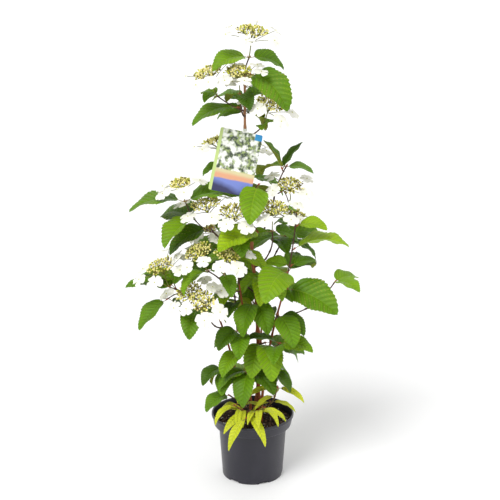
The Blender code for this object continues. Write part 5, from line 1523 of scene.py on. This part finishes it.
petiole_finish = Finish("leaf stalk", (132, 128, 52), Roughness=0.5)
petiole_finish.paint(petiole_finish.noise(60.0), (110, 132, 44), (150, 92, 52))
petiole_shapes = []
for _, leaf in grown + young:
    base = leaf_frame(leaf, np.array([0.0]))[0][0]
    slope = direction(leaf.azimuth, leaf.pitch + PETIOLE_LIFT)
    t = np.linspace(0, 1, 12)
    path = leaf.node + (base + slope * 0.004 - leaf.node) * t[:, None]
    flare = 1 + 0.5 * np.exp(-t / 0.08)
    radii = PETIOLE_RADIUS * 0.82 * flare * np.linspace(1, 0.8, 12)
    petiole_shapes.append(bark_tube(path, radii, 8, 0.03))
    # The next year's bud sits in the angle over each leaf stalk
    t = np.linspace(0, 1, 8)
    rise = unit(slope + np.array([0, 0, 1.6]))
    bud = leaf.node + slope * 0.0016 + rise * (t[:, None] * 0.0052)
    radii = 0.0011 * np.sin(math.pi * (0.1 + 0.88 * t)) ** 0.8
    bud_shapes.append(bark_tube(bud, radii, 6))
add_piece("leaf_stalks", petiole_shapes, [petiole_finish], list(MASSES), sharp=70)
add_piece("twig_bark", twig_shapes, [young_bark], grown_nodes, sharp=70)
add_piece("young_twigs", young_twig_shapes, [green_twig], young_nodes, sharp=70)
add_piece("side_buds", bud_shapes, [red_twig], list(MASSES), sharp=80)


# Flower heads
# Lacecaps: a flat dome of small closed buds on forking stalks, ringed by a few sterile white
# florets, each of five broad rounded lobes on a longer stalk of its own.

BUDS = 118
RAYS = 7
BUD_RADIUS = 0.0021
BUD_SHARES = (0.50, 0.28, 0.22)
GOLDEN_TURN = 2.39996
LOBES = 5
LOBE_ROWS = 9
LOBE_COLUMNS = np.array([1.0, 0.68, 0.34, 0.0, -0.34, -0.68, -1.0])
LOBE_THICKNESS = 0.00028


def rings_about(axes, count):
    """For each of many unit vectors a ring of count unit vectors square to it."""
    helper = np.where(np.abs(axes[:, 2:]) < 0.8, [[0.0, 0.0, 1.0]], [[1.0, 0.0, 0.0]])
    firsts = np.cross(axes, helper)
    firsts /= np.linalg.norm(firsts, axis=1)[:, None]
    seconds = np.cross(axes, firsts)
    angles = even_turns(count)[:, None]
    return firsts[:, None] * np.cos(angles) + seconds[:, None] * np.sin(angles)


def rods(starts, ends, radius):
    """Square-sectioned rods between paired points, closed at both ends."""
    slopes = ends - starts
    ring = rings_about(slopes / np.linalg.norm(slopes, axis=1)[:, None], 4)
    points = [starts[:, None] + ring * radius, ends[:, None] + ring * radius * 0.8]
    sides = [(0, 1, 5, 4), (1, 2, 6, 5), (2, 3, 7, 6), (3, 0, 4, 7), (3, 2, 1, 0), (4, 5, 6, 7)]
    return np.concatenate(points, 1).reshape(-1, 3), repeated(sides, len(starts), 8)


def pips(centres, axes, radii):
    """Small egg-shaped buds: four rings of six points and two poles each, longer than wide."""
    heights = np.array([-0.8, -0.25, 0.4, 0.85])[:, None, None]
    rings = rings_about(axes, 6)[:, None] * np.sqrt(1 - heights**2)
    rings = rings + axes[:, None, None] * (heights * 1.25)
    poles = np.stack([-axes * 1.25, axes * 1.25], 1)
    shape = np.concatenate([rings.reshape(len(centres), 24, 3), poles], 1)
    points = centres[:, None] + shape * radii[:, None, None]
    quads, fans = (
        repeated(faces, len(centres), 26) for faces in (grid_faces(4, 6), pole_fans(6, 18, 24, 25))
    )
    return points.reshape(-1, 3), quads, fans


def spokes(first, second, turns):
    """Unit vectors at these turns from one unit vector towards another."""
    return np.cos(turns)[:, None] * first + np.sin(turns)[:, None] * second


def bent_stalk(start, heading, end, radii, count, sides, relief=0.0):
    """A tube along an arc of count points, its radius running evenly between two."""
    return bark_tube(arc(start, heading, end, count), np.linspace(*radii, count), sides, relief)


def lobe(floret, turn, size, rng):
    """One rounded lobe of a floret as a closed thin shell.

    Its half width is 0.60 u^0.6 (1 - u^4.5)^0.5 of its length at a share u out from the middle.
    Its end is notched by 0.06 of its length, and it cups, twists and bends back a little.
    """
    first, second = frame_across(floret.normal, floret.turn + turn)
    out = ((np.arange(1, LOBE_ROWS + 1) / (LOBE_ROWS + 1)) ** 0.85)[:, None]
    across = np.concatenate([LOBE_COLUMNS, LOBE_COLUMNS[-2:0:-1]])
    is_top = np.arange(len(across)) < len(LOBE_COLUMNS)
    width = 0.60 * out**0.6 * np.sqrt(1 - out**4.5) * size
    reach = size * (out - 0.06 * out**6 * np.exp(-((across / 0.35) ** 2)))
    sideways = across * width
    cup, twist = rng.uniform(-0.10, 0.16), rng.uniform(-0.10, 0.10)
    bend = rng.uniform(0.04, 0.20)
    height = size * (cup * across**2 * out + twist * across * out - bend * out**2)
    ripple = 0.02 * size * np.sin(5 * across + 7 * out + turn) * out
    body = LOBE_THICKNESS / 2 * (1 - across**6)
    lift = height + ripple + np.where(is_top, body, -body) + rng.uniform(0, 0.0006)
    rings = (
        floret.centre
        + first * reach[..., None]
        + second * sideways[..., None]
        + floret.normal * lift[..., None]
    )
    dip = floret.normal * (height[-1, 3] - 0.1 * bend * size)
    end = floret.centre + first * size * 0.95 + dip
    points, top, below = closed_rings(rings, len(LOBE_COLUMNS), floret.centre, end)
    return points, [(faces, 0) for faces in top + below], None


petal = Finish("floret", (240, 239, 230), Roughness=0.55, Specular_IOR_Level=0.3)
petal.paint(((petal.noise(90.0, 2.0) - 0.4) * 3).clipped(), (230, 230, 216), (246, 244, 238))
petal.bump(petal.noise(420.0, 2.0) + petal.noise(1600.0, 2.0) * 0.4, 0.3, 0.0004)
bud_finishes = []
for name, first_colour, second_colour in (
    ("bud cream", (226, 214, 112), (244, 236, 168)),
    ("bud green", (160, 166, 36), (198, 198, 70)),
    ("bud olive", (94, 84, 12), (132, 122, 28)),
):
    finish = Finish(name, second_colour, Roughness=0.55)
    finish.paint(finish.noise(500.0), first_colour, second_colour)
    finish.bump(finish.noise(1200.0), 0.4, 0.0003)
    bud_finishes.append(finish)
flower_stalk = Finish("flower stalk", (150, 164, 64), Roughness=0.55)
flower_stalk.paint(flower_stalk.noise(120.0), (88, 94, 20), (132, 132, 46))

lobe_shapes, pip_shapes, stalk_shapes = [], [], []
for name in grown_nodes:
    for number, cap in enumerate(masses[name].caps):
        seeded = np.random.default_rng(sum(map(ord, name)) + number)
        rng = random.Random(f"{name}-{number}-lobes")
        first, second = frame_across(cap.axis, 0)
        rise = RAY_RISE * cap.across
        rays = spokes(first, second, even_turns(RAYS) + seeded.uniform(0, 1, RAYS))
        ring_forks = rays * 0.29 * cap.across + cap.axis * rise * 0.80
        forks = cap.hub + np.concatenate([ring_forks, [cap.axis * rise * 0.86]])
        k = np.arange(BUDS)
        out = np.sqrt((k + 0.5) / BUDS)
        turn = k * GOLDEN_TURN + seeded.normal(0, 0.05, BUDS)
        spread = spokes(first, second, turn) * (out * 0.5 * cap.across)[:, None]
        places = cap.hub + spread + cap.axis * (rise * (1.20 - 0.22 * out**2))[:, None]
        places += seeded.normal(0, 0.0015, (BUDS, 3))
        nearest = np.linalg.norm(places[:, None] - forks[None], axis=2).argmin(1)
        axes = places - forks[nearest]
        axes = axes / np.linalg.norm(axes, axis=1)[:, None]
        kinds = seeded.choice(len(BUD_SHARES), BUDS, p=BUD_SHARES)
        for kind in range(len(BUD_SHARES)):
            chosen = kinds == kind
            radii = BUD_RADIUS * seeded.uniform(0.75, 1.15, chosen.sum())
            points, quads, fans = pips(places[chosen], axes[chosen], radii)
            pip_shapes.append((points, [(quads, kind), (fans, kind)], None))
        points, faces = rods(forks[nearest], places, 0.00042)
        stalk_shapes.append((points, [(faces, 0)], None))
        foot = cap.hub - cap.axis * 0.001
        for fork in forks:
            stalk_shapes.append(bent_stalk(foot, cap.axis, fork, (0.0009, 0.0006), 7, 6))
        heading = unit(cap.stalk[1] - cap.stalk[0])
        top = cap.hub + cap.axis * 0.001
        radii = (CAP_STALK_RADIUS, 0.0011)
        stalk_shapes.append(bent_stalk(cap.stalk[0], heading, top, radii, 14, 8, 0.03))
        for floret in cap.florets:
            heading = unit(floret.centre - floret.root + cap.axis * 0.01)
            radii = (0.0008, 0.0006)
            stalk_shapes.append(bent_stalk(floret.root, heading, floret.centre, radii, 9, 6))
            sizes = [floret.size / 2 * rng.uniform(0.88, 1.0) for _ in range(LOBES)]
            for part, size in enumerate(sizes):
                around = part * 360 / LOBES + rng.uniform(-5, 5)
                lobe_shapes.append(lobe(floret, around, size, rng))
            eye = floret.centre + floret.normal * 0.0006
            points, quads, fans = pips(eye[None], floret.normal[None], np.array([0.0013]))
            pip_shapes.append((points, [(quads, 1), (fans, 1)], None))
add_piece("florets", lobe_shapes, [petal], grown_nodes, sharp=75)
add_piece("flower_buds", pip_shapes, bud_finishes, grown_nodes)
add_piece("flower_stalks", stalk_shapes, [flower_stalk], grown_nodes, sharp=70)
